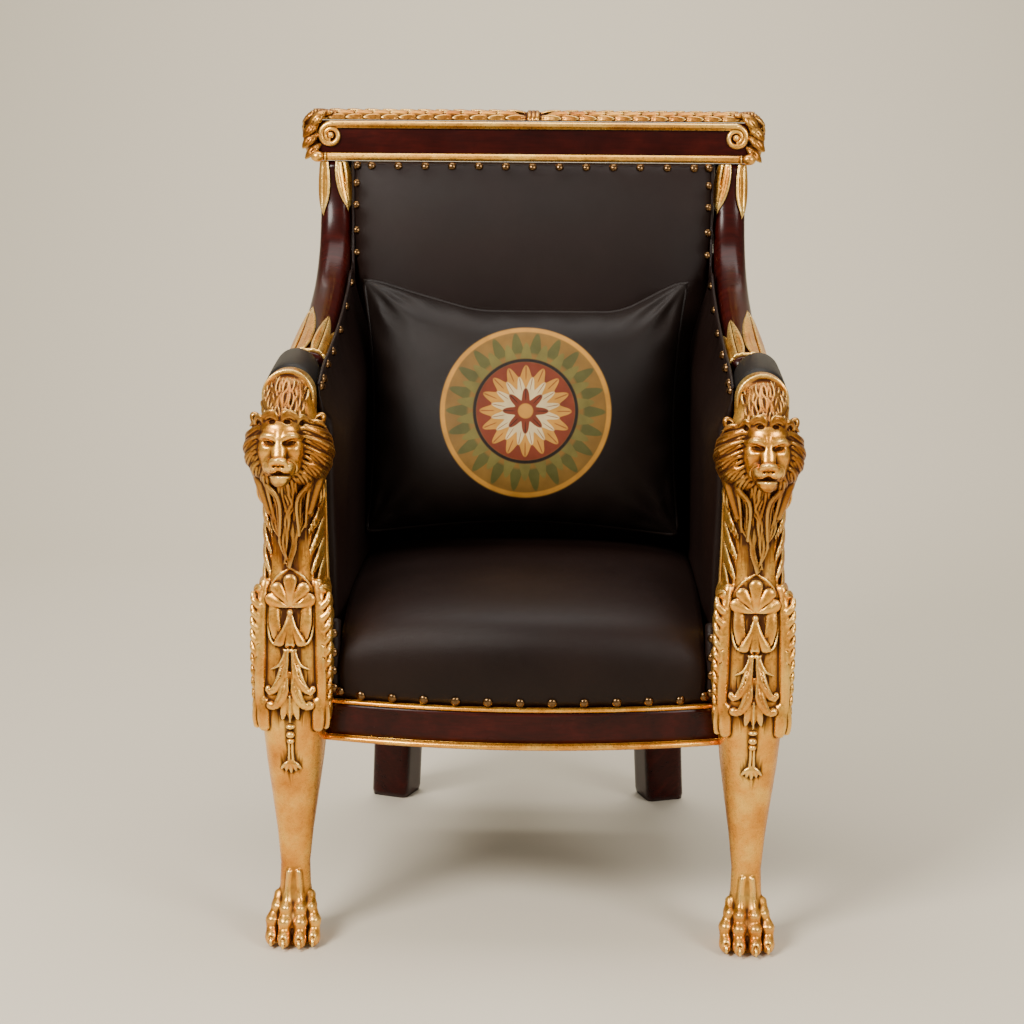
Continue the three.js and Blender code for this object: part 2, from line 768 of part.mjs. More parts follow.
// A leaf that lies along the post: `around` is its place round the post, from 0 at the outside, by
// a quarter turn at the front, to a half turn at the inside.
function postLeaf(from, to, around, width, lift = 3, twist = 0) {
  const place = (t, out) => {
    const [c, s] = squared(around + twist * t, 3);
    return besideSweep(mix(from, to, t), (ARM.postDeep + out) * s, (ARM.postHalf + out) * c);
  };
  const along = sweepLine.getTangentAt(from);
  const facing = v3(Math.cos(around), -along.z * Math.sin(around), along.y * Math.sin(around));
  return strand([place(0, 1), place(0.35, lift), place(0.75, lift), place(1, 0.5)], leafy(width), {
    facing,
    depth: 0.4,
    sides: 6,
  });
}

// A gilded band round the post, which the leaves of a collar grow from.
function postBand(from, to, out) {
  const sides = 10;
  return loft(
    [from, to].map((t) =>
      range(sides).map((j) => {
        const [c, s] = squared((2 * Math.PI * (j + 0.5)) / sides, 3);
        return besideSweep(t, (ARM.postDeep + out) * s, (ARM.postHalf + out) * c);
      }),
    ),
  );
}

const quarter = Math.PI / 2;

// Leaves that clasp the root of the post behind the arm pad.
function lowerCollar() {
  const root = sweepAt(ARM.padEnd + ARM.lap + 1);
  const up = (mm) => root + mm / sweepLine.getLength();
  const leaves = joined([
    postBand(root, up(12), 3),
    postLeaf(root, up(212), quarter * 0.62, 17, 4),
    postLeaf(root, up(174), quarter * 1.32, 10, 4),
    postLeaf(root, up(146), quarter * 1.8, 15, 3),
    postLeaf(root, up(150), quarter * 0.08, 14, 3),
  ]);
  return thinned(fittedToPost(leaves), 260);
}

// A collar hollowed out for the post and trimmed off flat beside the inside leather.
function fittedToPost(collar) {
  const inside = new THREE.BoxGeometry(100, 900, 500).translate(SIDE.postFace + GAP - 50, 500, 900);
  return collar.subtract(solidOf(postSkin(3 * GAP))).subtract(solidOf(inside));
}

// Two leaves that hang down the front of the post from the crest.
function upperCollar() {
  const top = 1 - 1 / sweepLine.getLength();
  const down = (mm) => top - mm / sweepLine.getLength();
  const leaves = joined([
    postBand(down(9), top, 3),
    postLeaf(top, down(82), quarter * 0.62, 12.5, 4),
    postLeaf(top, down(66), quarter * 1.38, 12.5, 4),
  ]);
  const above = new THREE.BoxGeometry(200, 200, 60).translate(ARM.x, 605, CREST.bottom - 2 * GAP + 30);
  return thinned(fittedToPost(leaves).subtract(solidOf(above)), 190);
}

// ---------------------------------------------------------------- crest

const alongX = (y, z, x) => [x, y, z];

// A half-round moulding on the front of the crest, between two heights.
function frontMoulding(half, low, high, proud) {
  const back = CREST.front - GAP;
  const middle = (low + high) / 2;
  const outline = range(7).map((i) => {
    const a = (Math.PI * i) / 6;
    return [back - proud * Math.sin(a), middle - ((high - low) / 2) * Math.cos(a)];
  });
  return run(outline, -half, half, alongX);
}

function crestRail() {
  const { front, back, bottom, top, chamfer } = CREST;
  const outline = [
    [front, bottom],
    [back - chamfer, bottom],
    [back, bottom + chamfer],
    [back, top - chamfer],
    [back - chamfer, top],
    [front, top],
  ];
  return run(outline, -CREST.half, CREST.half, alongX);
}

function bottomMoulding() {
  const { bottom, mould, half, front } = CREST;
  const ends = [-1, 1].map((s) =>
    ball(v3(s * half, front - GAP - 8, bottom + mould.high / 2), 9, 8, mould.high / 2 + 1.5, 8, 6),
  );
  return joined([frontMoulding(half, bottom, bottom + mould.high, mould.proud), ...ends]);
}

// The upper moulding, whose ends curl over outwards and down into volutes.
function topMoulding() {
  const { mould, top, front, volute } = CREST;
  const proud = front - GAP - volute.band;
  const volutes = [-1, 1].flatMap((s) => {
    const points = range(15).map((i) => {
      const t = i / 14;
      const a = quarter - t * Math.PI * 2.6;
      const r = mix(volute.r - volute.band, volute.band * 1.2, t ** 0.8);
      return v3(s * (volute.x + r * Math.cos(a)), proud, volute.z + r * Math.sin(a));
    });
    return [
      strand(points, (t) => mix(volute.band, volute.band * 0.6, t), { depth: 1, sides: 5, steps: 18 }),
      ball(v3(s * volute.x, proud, volute.z), volute.eye, volute.band, volute.eye, 8, 5),
    ];
  });
  const strip = frontMoulding(volute.x + 2, top - mould.high, top, mould.proud);
  return thinned(joined([strip, ...volutes]), 420);
}

// A laurel garland along the top of the crest, bound in the middle, with its leaves pointing
// outwards and a spray of leaves folded down over each end.
function garland() {
  const { top, half, garlandDeep, garlandHigh, leafPitch } = CREST;
  const middle = (CREST.front + CREST.back) / 2;
  const sides = 7;
  const section = (x, swell) =>
    range(sides + 1).map((j) => {
      const a = (Math.PI * j) / sides;
      return v3(x, middle + garlandDeep * swell * Math.cos(a), top + GAP + garlandHigh * swell * Math.sin(a));
    });
  const groups = Math.floor(half / leafPitch);
  const right = range(groups).flatMap((i) => [
    section(8 + i * leafPitch, 0.82),
    section(6 + (i + 1) * leafPitch, 1),
  ]);
  const left = right.map((ring) => ring.map((p) => v3(-p.x, p.y, p.z))).reverse();
  const boss = loft([section(-9, 1), section(-5, 1.12), section(5, 1.12), section(9, 1)]);
  const sprays = [-1, 1].flatMap((s) =>
    range(7).map((i) => {
      const a = mix(-0.75, 0.75, i / 6);
      const side = middle + garlandDeep * 1.1 * Math.sin(a * 1.5);
      const drop = mix(54, 12, Math.abs(a) / 0.75);
      return strand(
        [
          v3(s * (half - 18), side, top + 8),
          v3(s * (half + 10), side, top + 6),
          v3(s * (half + 17), side, top - drop),
        ],
        leafy(11),
        { facing: v3(s, 0, 0.4), depth: 0.5, steps: 4 },
      );
    }),
  );
  const end = CREST.half + 2 * GAP;
  const railCut = new THREE.BoxGeometry(2 * end, 90, 80).translate(0, middle, top + 2 * GAP - 40);
  const whole = joined([loft([...left, ...right]), boss, ...sprays]).subtract(solidOf(railCut));
  return thinned(whole, 960);
}

// ---------------------------------------------------------------- seat frame

// The bowed front face of the front rail, `ahead` mm in front of it.
const railFront = (x, ahead = 0) => RAIL.endY - RAIL.bow * (1 - (x / RAIL.halfFront) ** 2) - ahead;

// A piece that follows the front rail's bow, from `back` to `front` mm ahead of its face.
function bowed(half, front, back, low, high) {
  const stations = range(11).map((i) => mix(-half, half, i / 10));
  const outline = [
    ...stations.map((x) => [x, railFront(x, front)]),
    ...stations.reverse().map((x) => [x, railFront(x, back)]),
  ];
  return run(outline, low, high, (x, y, z) => [x, y, z]);
}

const fitted = (geometry) => {
  const leftCutter = lionCutter.transform([-1, 0, 0, 0, 0, 1, 0, 0, 0, 0, 1, 0, 0, 0, 0, 1]);
  return solidOf(geometry).subtract(lionCutter).subtract(leftCutter);
};

function sideRail() {
  const { sideOut, sideOutBack, cornerY, backY, backHalf, thick } = RAIL;
  const front = lionBack(RAIL.top) + 2;
  const outline = [
    [sideOut, front],
    [sideOutBack, cornerY],
    [backHalf, backY],
    [backHalf - thick + 4, backY],
    [sideOutBack - thick, cornerY - 6],
    [sideOut - thick, front],
  ];
  return run(outline, RAIL.bottom, RAIL.top, (x, y, z) => [x, y, z]);
}

function backRail() {
  const half = RAIL.backHalf - RAIL.thick + 4 - GAP;
  return new THREE.BoxGeometry(2 * half, RAIL.thick, RAIL.top - RAIL.bottom).translate(
    0,
    RAIL.backY - RAIL.thick / 2,
    (RAIL.top + RAIL.bottom) / 2,
  );
}

// A sabre leg, turned in plan and swept out to the back corner.
function rearLeg() {
  const steps = 6;
  return loft(
    range(steps + 1).map((i) => {
      const t = i / steps;
      const swept = (1 - t) ** 1.6;
      const [x, y] = [mix(LEG.topX, LEG.footX, swept), mix(LEG.topY, LEG.footY, swept)];
      const r = LEG.width / Math.SQRT2;
      return range(4).map((j) => {
        const a = LEG.turn + quarter * (j + 0.5);
        return v3(x + r * Math.cos(a), y + r * Math.sin(a), t * (RAIL.bottom - GAP));
      });
    }),
  );
}

// ---------------------------------------------------------------- upholstery

const crown = (t, power) => Math.max(0, 1 - Math.abs(2 * t - 1) ** power) ** 0.5;

// The sprung seat: bowed in front, rounded over its front edge and crowned on top.
function seat() {
  const { halfFront, half, back, frontTop, crownHigh, roundOver } = SEAT;
  const bottom = RAIL.top + GAP;
  const place = (u, v) => {
    const y = mix(0, back, v);
    const wide = mix(halfFront, half, THREE.MathUtils.smoothstep(y, 0, 40));
    const x = mix(-wide, wide, u);
    return [x, mix(railFront(x, -2), back, v)];
  };
  const top = (u, v) => {
    const [x, y] = place(u, Math.max(0, v * 1.08 - 0.08));
    const edge = v === 0 ? -roundOver : 0;
    const bulge = v < 0.2 ? 6 * (1 - v / 0.2) : 0;
    return [x, y - bulge, frontTop + edge + crownHigh * crown(u, 4) * crown(clamp(v * 0.9 + 0.05, 0, 1), 3)];
  };
  return fitted(slab(7, 8, top, (u, v) => [...place(u, v), bottom]));
}

// The front of the back's upholstery, which rolls forward from its nailed edges.
function backFront(x, z) {
  const across = 1 - Math.abs(x / BACK.half) ** 6;
  const up = 1 - clamp((z - BACK.rollFrom) / (CREST.bottom - BACK.rollFrom), 0, 1) ** 3;
  return BACK.edgeY - BACK.roll * Math.sqrt(Math.max(0, across * up));
}

// The rear of the upholstery leans back a little on the way down to the rail.
const backRear = (z) => mix(RAIL.backY, BACK.rearTop, (z - RAIL.top) / (CREST.bottom - RAIL.top));

// The back is as wide as the posts allow above the arms, and fits between the side pads below.
function backPad() {
  const block = (half, low, high, rows) => {
    const place = (u, v) => [mix(-half, half, u), mix(low, high, v)];
    const front = (u, v) => {
      const [x, z] = place(u, v);
      return [x, backFront(x, z), z];
    };
    const rear = (u, v) => {
      const [x, z] = place(u, v);
      return [x, backRear(z) - BACK.skin - 3, z];
    };
    return slab(7, rows, front, rear);
  };
  const lower = block(SIDE.inner - GAP, RAIL.top + GAP, BACK.shoulder + 1, 3);
  const upper = block(BACK.half, BACK.shoulder, CREST.bottom - GAP, 5);
  return joined([lower, upper]);
}

const outerBackHalf = (z) => mix(RAIL.backHalf, BACK.half, (z - RAIL.top) / (CREST.bottom - RAIL.top));

function outerBack() {
  const place = (inset) => (u, v) => {
    const z = mix(RAIL.top + GAP, CREST.bottom - GAP, v);
    return [outerBackHalf(z) * (2 * u - 1), backRear(z) - inset, z];
  };
  return slab(1, 3, place(0), place(BACK.skin));
}

// The outside face of the leather beside the seat, ahead of the rear corner.
function wallX(y, z) {
  const rise = clamp((z - RAIL.top) / (ARM.underFront - RAIL.top), 0, 1);
  const back = clamp((y - LION.backTop) / (RAIL.cornerY - LION.backTop), 0, 1);
  return mix(mix(RAIL.sideOut, RAIL.sideOutBack, back), SIDE.outer, rise);
}

// The padding inside each arm: it fills the space between the seat and the arm, and its top edge
// follows the arm up to the back.
function sidePad() {
  const rear = BACK.edgeY - BACK.roll;
  const front = ARM.padStart + 1;
  const stations = [front, 105, 140, 200, 270, 340, 420, 480, rear, rear + GAP, RAIL.cornerY - 6];
  const topAt = (y) => {
    if (y > rear) return BACK.shoulder - GAP;
    return sweepHeight(mix(SIDE.topOffFront, SIDE.topOff, clamp((y - front) / 60, 0, 1)), y);
  };
  const low = RAIL.top + GAP;
  const place = (u, v) => {
    const station = stations[Math.round(u * (stations.length - 1))];
    const z = mix(low, topAt(station), v);
    return [Math.max(station, lionBack(z) + 4), z];
  };
  const inner = (u, v) => {
    const [y, z] = place(u, v);
    const lead = 1 - clamp((y - front) / SIDE.lead, 0, 1);
    const tuck = Math.max(THREE.MathUtils.smoothstep(v, 0.75, 1), 0.8 * lead ** 2);
    return [SIDE.inner + SIDE.tuck * tuck, y, z];
  };
  const outer = (u, v) => {
    const [y, z] = place(u, v);
    return [Math.min(SIDE.postFace, wallX(y, z) - SIDE.skin - GAP), y, z];
  };
  return solidOf(slab(stations.length - 1, 4, inner, outer)).subtract(lionCutter);
}

// The leather outside each arm, from the lion's back round the rear corner to the outer back.
function outerSide() {
  const { top, cornerY } = RAIL;
  const [low, turnAt] = [top + GAP, 0.7];
  const plan = (u, z, inset) => {
    const start = lionBack(Math.min(z, ARM.underFront)) + 2;
    const straight = mix(start, cornerY, Math.min(u / turnAt, 1));
    const x = wallX(straight, z);
    if (u <= turnAt) return [x - inset, straight];
    const corner = outerBackHalf(z) + 2 * GAP;
    const a = (quarter * (u - turnAt)) / (1 - turnAt);
    const deep = backRear(z) - cornerY;
    return [corner + (x - corner - inset) * Math.cos(a), cornerY + (deep - inset) * Math.sin(a)];
  };
  const place = (inset) => (u, v) => {
    const edge = armUnder(plan(u, ARM.underFront, 0)[1]) - SIDE.clearArm;
    const z = mix(low, edge, v);
    return [...plan(u, z, inset), z];
  };
  const panel = solidOf(slab(10, 3, place(0), place(SIDE.skin)));
  return panel.subtract(lionCutter).subtract(solidOf(postSkin(2 * GAP)));
}

// The loose cushion: a pillow with pinched corners and hollow sides, leaning on the back.
function cushion() {
  const { width, height, thick, pinch, foot, topDip, footRise } = CUSHION;
  const face = (sign) => (u, v) => {
    const [s, t] = [2 * u - 1, 2 * v - 1];
    const x = (width / 2) * s * (1 - pinch * (1 - t * t)) * mix(foot, 1, v);
    const sag = t > 0 ? topDip : footRise;
    const up = t * (height / 2 - sag * (1 - Math.abs(s) ** 1.7));
    const swell = ((1 - s ** 4) * (1 - t ** 4)) ** 0.6;
    return [x, sign * (1 + (thick / 2) * swell), up];
  };
  return slab(8, 7, face(-1), face(1)).rotateX(-CUSHION.lean).translate(CUSHION.x, CUSHION.y, CUSHION.z);
}

// ---------------------------------------------------------------- the chair

const chair = new THREE.Group();
const add = (name, shape, material) => chair.add(mesh(name, shape, material));

// A piece of the right side and its mirror image on the left.
function addPair(name, shape, material) {
  const right = mesh(`${name}_right`, shape, material);
  const left = right.clone();
  left.name = `${name}_left`;
  left.scale.x = -1;
  chair.add(left, right);
}

addPair("lion_monopodium", monopodium, GILT);
addPair("arm_post", armPost(), MAHOGANY);
addPair("arm_pad", armPad(), ARM_LEATHER);
addPair("leaf_collar_lower", lowerCollar(), GILT);
addPair("leaf_collar_upper", upperCollar(), GILT);
add("crest_rail", crestRail(), MAHOGANY);
add("crest_moulding_bottom", bottomMoulding(), GILT);
add("crest_moulding_top", topMoulding(), GILT);
add("crest_garland", garland(), GILT);
add("seat_rail_front", fitted(bowed(RAIL.halfFront + 14, 0, -RAIL.thick, RAIL.bottom, RAIL.top)), MAHOGANY);
add("seat_bead_upper", fitted(bowed(RAIL.halfFront + 10, 5, GAP, RAIL.top - 7, RAIL.top)), GILT);
add("seat_bead_lower", fitted(bowed(RAIL.halfFront + 10, 7, GAP, RAIL.bottom - 4, RAIL.bottom + 5)), GILT);
addPair("seat_rail_side", sideRail(), MAHOGANY);
add("seat_rail_back", backRail(), MAHOGANY);
addPair("rear_leg", rearLeg(), MAHOGANY);
add("seat_upholstery", seat(), LEATHER);
add("back_pad", backPad(), LEATHER);
addPair("side_pad", sidePad(), LEATHER);
add("outer_back_panel", outerBack(), LEATHER);
addPair("outer_side_panel", outerSide(), LEATHER);
add("loose_cushion", cushion(), LEATHER);

// The origin goes to the middle of the chair's footprint.
const footprint = new THREE.Box3().setFromObject(chair);
chair.position.set(0, -(footprint.min.y + footprint.max.y) / 2, -footprint.min.z);

export default chair;
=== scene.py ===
"""Looks for the lion throne: carved and gilded wood, polished mahogany, dark leather and brass nails.

Metres. Everything is drawn in "chair" coordinates, where y = 0 is the front of the legs, x = 0 is the
mirror plane and z = 0 is the floor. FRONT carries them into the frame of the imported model.
"""

import math
from functools import cache

import bmesh
import bpy
import numpy as np
from mathutils import Euler, Matrix, Vector


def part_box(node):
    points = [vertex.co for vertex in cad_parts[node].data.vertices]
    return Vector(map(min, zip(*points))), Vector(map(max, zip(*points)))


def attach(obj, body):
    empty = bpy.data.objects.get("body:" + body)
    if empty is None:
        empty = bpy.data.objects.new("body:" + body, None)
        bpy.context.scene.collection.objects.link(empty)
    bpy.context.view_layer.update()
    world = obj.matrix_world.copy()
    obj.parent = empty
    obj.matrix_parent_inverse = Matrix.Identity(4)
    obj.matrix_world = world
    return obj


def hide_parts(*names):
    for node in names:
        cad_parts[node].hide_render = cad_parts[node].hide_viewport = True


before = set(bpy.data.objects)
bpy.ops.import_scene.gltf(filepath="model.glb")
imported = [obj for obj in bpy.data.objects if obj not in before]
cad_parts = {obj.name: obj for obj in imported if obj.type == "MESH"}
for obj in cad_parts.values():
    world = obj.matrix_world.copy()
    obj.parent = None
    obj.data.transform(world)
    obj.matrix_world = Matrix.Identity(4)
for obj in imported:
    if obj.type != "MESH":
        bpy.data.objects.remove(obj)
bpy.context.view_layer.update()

PAD_START = 0.075  # the arm pads begin this far behind the front of the legs
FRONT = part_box("arm_pad_right")[0][1] - PAD_START
MM = 0.001
rng = np.random.default_rng(11)

# ------------------------------------------------------------------ dimensions

LION_X = (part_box("lion_monopodium_right")[0][0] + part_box("lion_monopodium_right")[1][0]) / 2
OUT = 0.006  # how far the face and the arm's round end stand outwards of the leg's middle
EYES, MANE = 0.676, 0.665  # height of the eyes and of the mane's middle
ARCH = {"z": 0.727, "r": 0.034, "front": 0.042, "back": 0.074, "band": 0.006}
RAIL = {"bottom": 0.272, "top": 0.326, "end": 0.040, "bow": 0.036, "half": 0.254}
ARM_HALF, ARM_RISE, PAD_END, PAD_OUTER = 0.0345, 0.037, 0.200, 0.341
POST_HALF, POST_DEEP, POST_SQUARE = 0.024, 0.022, 2.7
ARM_FOOT = 0.690  # the underside of the arm over the monopodium
INNER_FACE = 0.2722  # the arms and posts stop here, beside the inside leather
CREST = {"half": 0.326, "bottom": 1.020, "top": 1.081, "front": 0.582, "back": 0.636}
VOLUTE = {"x": 0.307, "z": 1.058}
GARLAND = {"deep": 0.022, "high": 0.016, "pitch": 0.027, "leaves": 12}
BACK_AT_RAIL, BACK_AT_CREST = 0.622, 0.606  # the rear of the back at its foot and at its top
LEATHER_FOOT = 0.3270  # where the upholstery starts, above the rails
GAP = 0.0006  # left between pieces that touch
NAIL_R = 0.00644

# Middle line of the arm and post, seen from the side, as (y, z).
SWEEP = [(0.075, 0.727), (0.200, 0.745), (0.320, 0.768), (0.420, 0.796), (0.510, 0.833),
         (0.570, 0.882), (0.598, 0.945), (0.605, 1.018)]

# The plain body of a monopodium at levels on the way up: height, half width, front, back, squareness,
# and how wide its front is beside its back.
BODY = np.array([
    (0, 29, -16, 50, 2.6, 1),
    (22, 28, -16, 50, 2.4, 1),
    (48, 24, -8, 46, 2.2, 1),
    (75, 20.5, 0, 42, 2.1, 1),
    (105, 19.5, 4, 43, 2.1, 1),
    (150, 24, 4, 54, 2.2, 1),
    (200, 31, -2, 74, 2.3, 1),
    (245, 37, -10, 92, 2.5, 1),
    (290, 41, -14, 105, 3, 1),
    (340, 43, -13, 108, 3.4, 1),
    (400, 43, -7, 104, 3.6, 1),
    (470, 43, 0, 98, 3.6, 0.85),
    (500, 43, 2, 97, 3.6, 0.7),
    (540, 43, 5, 95, 3.4, 0.7),
    (610, 42, 8, 90, 3, 0.75),
    (690, 36, 16, 89, 2.6, 1),
    (700, 32, 20, 73, 2.6, 1),
    (735, 22, 30, 73, 2.6, 1),
])


# ------------------------------------------------------------------ small helpers


def mix(a, b, t):
    return a + (b - a) * t


def path(place, *points, side=1):
    """place(x, ...) for each point, with its x turned to one side."""
    return [place(side * x, *rest) for x, *rest in points]


def circle(count, start=0.0):
    """Angles evenly round a circle, the first `start` steps on."""
    return [2 * math.pi * (j + start) / count for j in range(count)]


def smoothstep(value, low, high):
    t = np.clip((value - low) / (high - low), 0, 1)
    return t * t * (3 - 2 * t)


def spline(points, count):
    """`count` evenly spaced points on a Catmull-Rom curve through `points`."""
    p = np.asarray(points, float)
    ends = np.vstack([2 * p[0] - p[1], p, 2 * p[-1] - p[-2]])
    t = np.linspace(0, len(p) - 1, 12 * (len(p) - 1) + 1)
    i = np.minimum(t.astype(int), len(p) - 2)
    f = (t - i)[:, None]
    a, b, c, d = ends[i], ends[i + 1], ends[i + 2], ends[i + 3]
    square, cube = 2 * a - 5 * b + 4 * c - d, 3 * b - a - 3 * c + d
    dense = 0.5 * (2 * b + (c - a) * f + square * f**2 + cube * f**3)
    along = np.r_[0, np.cumsum(np.linalg.norm(np.diff(dense, axis=0), axis=1))]
    want = np.linspace(0, along[-1], count)
    return np.stack([np.interp(want, along, dense[:, k]) for k in range(dense.shape[1])], 1)


def unit(vector):
    v = np.asarray(vector, float)
    return v / np.maximum(np.linalg.norm(v, axis=-1, keepdims=True), 1e-12)


def smooth(piece):
    piece.data.polygons.foreach_set("use_smooth", [True] * len(piece.data.polygons))
    return piece


def new_piece(name, data):
    piece = bpy.data.objects.new(name, data)
    bpy.context.scene.collection.objects.link(piece)
    return piece


def mesh_piece(name, points, faces, material):
    """A smooth piece from chair coordinates, moved into the frame, with its faces turned outwards."""
    data = bpy.data.meshes.new(name)
    placed = np.asarray(points, float) + (0, FRONT, 0)
    data.from_pydata(placed.tolist(), [], [list(map(int, f)) for f in faces])
    data.materials.append(material)
    shape = bmesh.new()
    shape.from_mesh(data)
    bmesh.ops.recalc_face_normals(shape, faces=shape.faces)
    shape.to_mesh(data)
    shape.free()
    return smooth(new_piece(name, data))


def modified(piece, kind, **settings):
    """Adds a modifier and applies it at once."""
    modifier = piece.modifiers.new(kind.lower(), kind)
    for key, value in settings.items():
        setattr(modifier, key, value)
    graph = bpy.context.evaluated_depsgraph_get()
    made = bpy.data.meshes.new_from_object(piece.evaluated_get(graph))
    piece.modifiers.clear()
    old, piece.data = piece.data, made
    bpy.data.meshes.remove(old)
    return piece


def ride(piece, slot, *replaced):
    """Every piece is fixed to the throne's one body."""
    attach(piece, "root")
    if replaced:
        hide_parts(*replaced)
    return piece


def coordinates(piece):
    """A piece's vertices in chair coordinates."""
    co = np.zeros(len(piece.data.vertices) * 3)
    piece.data.vertices.foreach_get("co", co)
    return co.reshape(-1, 3) - (0, FRONT, 0)


def store(piece, name, values):
    """A number for each vertex, which a material reads."""
    attribute = piece.data.attributes.new(name, "FLOAT", "POINT")
    attribute.data.foreach_set("value", np.asarray(values, np.float32))


def grid_faces(rows, columns, closed=False):
    """Quads over a grid of rows by columns, wrapped round along the columns if closed."""
    faces = []
    for i in range(rows - 1):
        for j in range(columns if closed else columns - 1):
            k = (j + 1) % columns
            faces.append((i * columns + j, i * columns + k, (i + 1) * columns + k, (i + 1) * columns + j))
    return faces


def joined(*meshes):
    """Several (points, faces) as one."""
    points, faces = [], []
    for more, more_faces in meshes:
        faces += [tuple(i + len(points) for i in face) for face in more_faces]
        points += more
    return points, faces


def tube_mesh(rings, hubs=None):
    """Points and faces of a closed tube over rings of equal size, with a fan over each end, round its
    middle or round a hub."""
    rows, columns = len(rings), len(rings[0])
    points = [p for ring in rings for p in ring]
    faces = grid_faces(rows, columns, closed=True)
    hubs = hubs or (np.mean(rings[0], axis=0), np.mean(rings[-1], axis=0))
    for row, hub_place in zip((0, rows - 1), hubs):
        points.append(hub_place)
        hub = len(points) - 1
        faces += [(row * columns + j, row * columns + (j + 1) % columns, hub) for j in range(columns)]
    return points, faces


# ------------------------------------------------------------------ materials


class Recipe:
    """A material and a shorthand for its nodes. A value is a number, a colour or another node's socket."""

    def __init__(self, name):
        self.material = bpy.data.materials.new(name)
        self.material.use_nodes = True
        self.tree = self.material.node_tree
        self.shader = self.tree.nodes["Principled BSDF"]

    def give(self, socket, value):
        if isinstance(value, bpy.types.NodeSocket):
            self.tree.links.new(value, socket)
        elif isinstance(value, tuple) and socket.type == "RGBA":
            socket.default_value = (*value, 1)
        else:
            socket.default_value = value

    def set(self, **inputs):
        """Sets the shader's inputs, with _ for each space in their names."""
        for name, value in inputs.items():
            self.give(self.shader.inputs[name.replace("_", " ")], value)

    def add(self, kind, values, out=0, **settings):
        """A new node's output. values: its inputs in order, or by name."""
        made = self.tree.nodes.new("ShaderNode" + kind)
        for name, value in settings.items():
            setattr(made, name, value)
        for key, value in values.items() if isinstance(values, dict) else enumerate(values):
            self.give(made.inputs[key], value)
        return made.outputs[out]

    def math(self, operation, *values, clamp=False):
        return self.add("Math", values, operation=operation, use_clamp=clamp)

    def mix(self, kind, factor, a, b):
        return self.add("MixRGB", (factor, a, b), blend_type=kind)

    def attribute(self, name):
        return self.add("Attribute", (), "Fac", attribute_name=name)

    def place(self):
        return self.add("TexCoord", (), "Object")

    def noise(self, scale, detail=4.0, roughness=0.55, stretch=None):
        """Noise over the piece's own coordinates, which may be stretched."""
        place = self.place()
        if stretch:
            place = self.add("Mapping", {"Vector": place, "Scale": stretch}, "Vector")
        values = {"Vector": place, "Scale": scale, "Detail": detail, "Roughness": roughness}
        return self.add("TexNoise", values, "Fac")

    def ramp(self, factor, *stops):
        """A ramp over (place, colour) stops. A plain number is a grey."""
        color = self.add("ValToRGB", (factor,))
        elements = color.node.color_ramp.elements
        while len(elements) < len(stops):
            elements.new(0.5)
        for element, (place, shade) in zip(elements, stops):
            element.position = place
            element.color = (*shade, 1) if isinstance(shade, tuple) else (shade, shade, shade, 1)
        return color

    def within(self, value, low, high, soft=0.03):
        """1 between low and high, with soft edges."""
        up = self.math("MULTIPLY_ADD", value, 1 / soft, 0.5 - low / soft, clamp=True)
        down = self.math("MULTIPLY_ADD", value, -1 / soft, 0.5 + high / soft, clamp=True)
        return self.math("MINIMUM", up, down)

    def bump(self, height, strength, distance):
        values = {"Height": height, "Strength": strength, "Distance": distance}
        self.set(Normal=self.add("Bump", values, "Normal"))


def gilding(name, carved_marks=True):
    """Antique gold leaf on carved wood, browner in the hair: painted highlight on the high places, painted
    shade in the hollows, and some grime in the fine ones.
    """
    m = Recipe(name)
    patchy, fine = m.noise(22, 5), m.noise(240, 4)
    leaf = m.ramp(patchy, (0.30, (0.60, 0.21, 0.022)), (0.5, (0.86, 0.38, 0.050)),
                  (0.68, (1.0, 0.56, 0.105)))
    leaf = m.mix("MULTIPLY", 0.35, leaf, m.ramp(fine, (0.3, 0.55), (0.7, 1.0)))
    rough = m.ramp(fine, (0.3, 0.23), (0.7, 0.36))
    if carved_marks:
        umber = m.attribute("umber")
        # In the hair and garland (umber) the hollow measure is raised, which dims their painted highlight
        # and deepens the grime and painted shade in their fine hollows; their leaf is also browner.
        hollow = m.math("MULTIPLY_ADD", umber, 0.045, m.attribute("fine_hollow"))
        leaf = m.mix("MULTIPLY", umber, leaf, (0.50, 0.44, 0.44))
        # Painted highlight: the ridges and high places are mixed towards a bright yellow gold.
        bright = m.mix("MULTIPLY", umber, m.ramp(hollow, (0.34, 0.75), (0.47, 0)), (0.5, 0.5, 0.5))
        leaf = m.mix("MIX", bright, leaf, (1.0, 0.71, 0.23))
        # Painted shade: the broad hollows are mixed towards a deep brown, as if in shadow.
        shade = m.ramp(m.attribute("broad_hollow"), (0.50, 0), (0.64, 0.75))
        leaf = m.mix("MIX", shade, leaf, (0.22, 0.070, 0.012))
        # The fine hollows go near black and rougher: grime that gathers there, with painted shade over it.
        grime_and_painted_shade = m.ramp(hollow, (0.505, 0), (0.60, 0.92))
        leaf = m.mix("MIX", grime_and_painted_shade, leaf, (0.040, 0.011, 0.004))
        rough = m.mix("MIX", grime_and_painted_shade, rough, (0.75, 0.75, 0.75))
    m.set(Base_Color=leaf, Roughness=rough, Metallic=0.86)
    m.bump(fine, 0.25, 0.0004)
    return m.material


def polished_mahogany():
    """Dark red mahogany under a gloss lacquer."""
    m = Recipe("mahogany")
    grain = m.noise(9, 8, 0.65, (1, 14, 1.5))
    pores = m.noise(160, 3, 0.5, (0.2, 2.2, 2.2))
    reds = (0.014, 0.0014, 0.0010), (0.027, 0.0024, 0.0015), (0.046, 0.0042, 0.0022)
    color = m.ramp(grain, *zip((0.30, 0.52, 0.72), reds))
    color = m.mix("MULTIPLY", 0.5, color, m.ramp(pores, (0.35, 0.45), (0.6, 1)))
    m.set(Base_Color=color, Roughness=m.ramp(m.noise(14, 2), (0.3, 0.22), (0.7, 0.28)),
          Specular_IOR_Level=0.145, Coat_Weight=0.05, Coat_Roughness=0.12)
    m.bump(pores, 0.05, 0.0003)
    return m.material


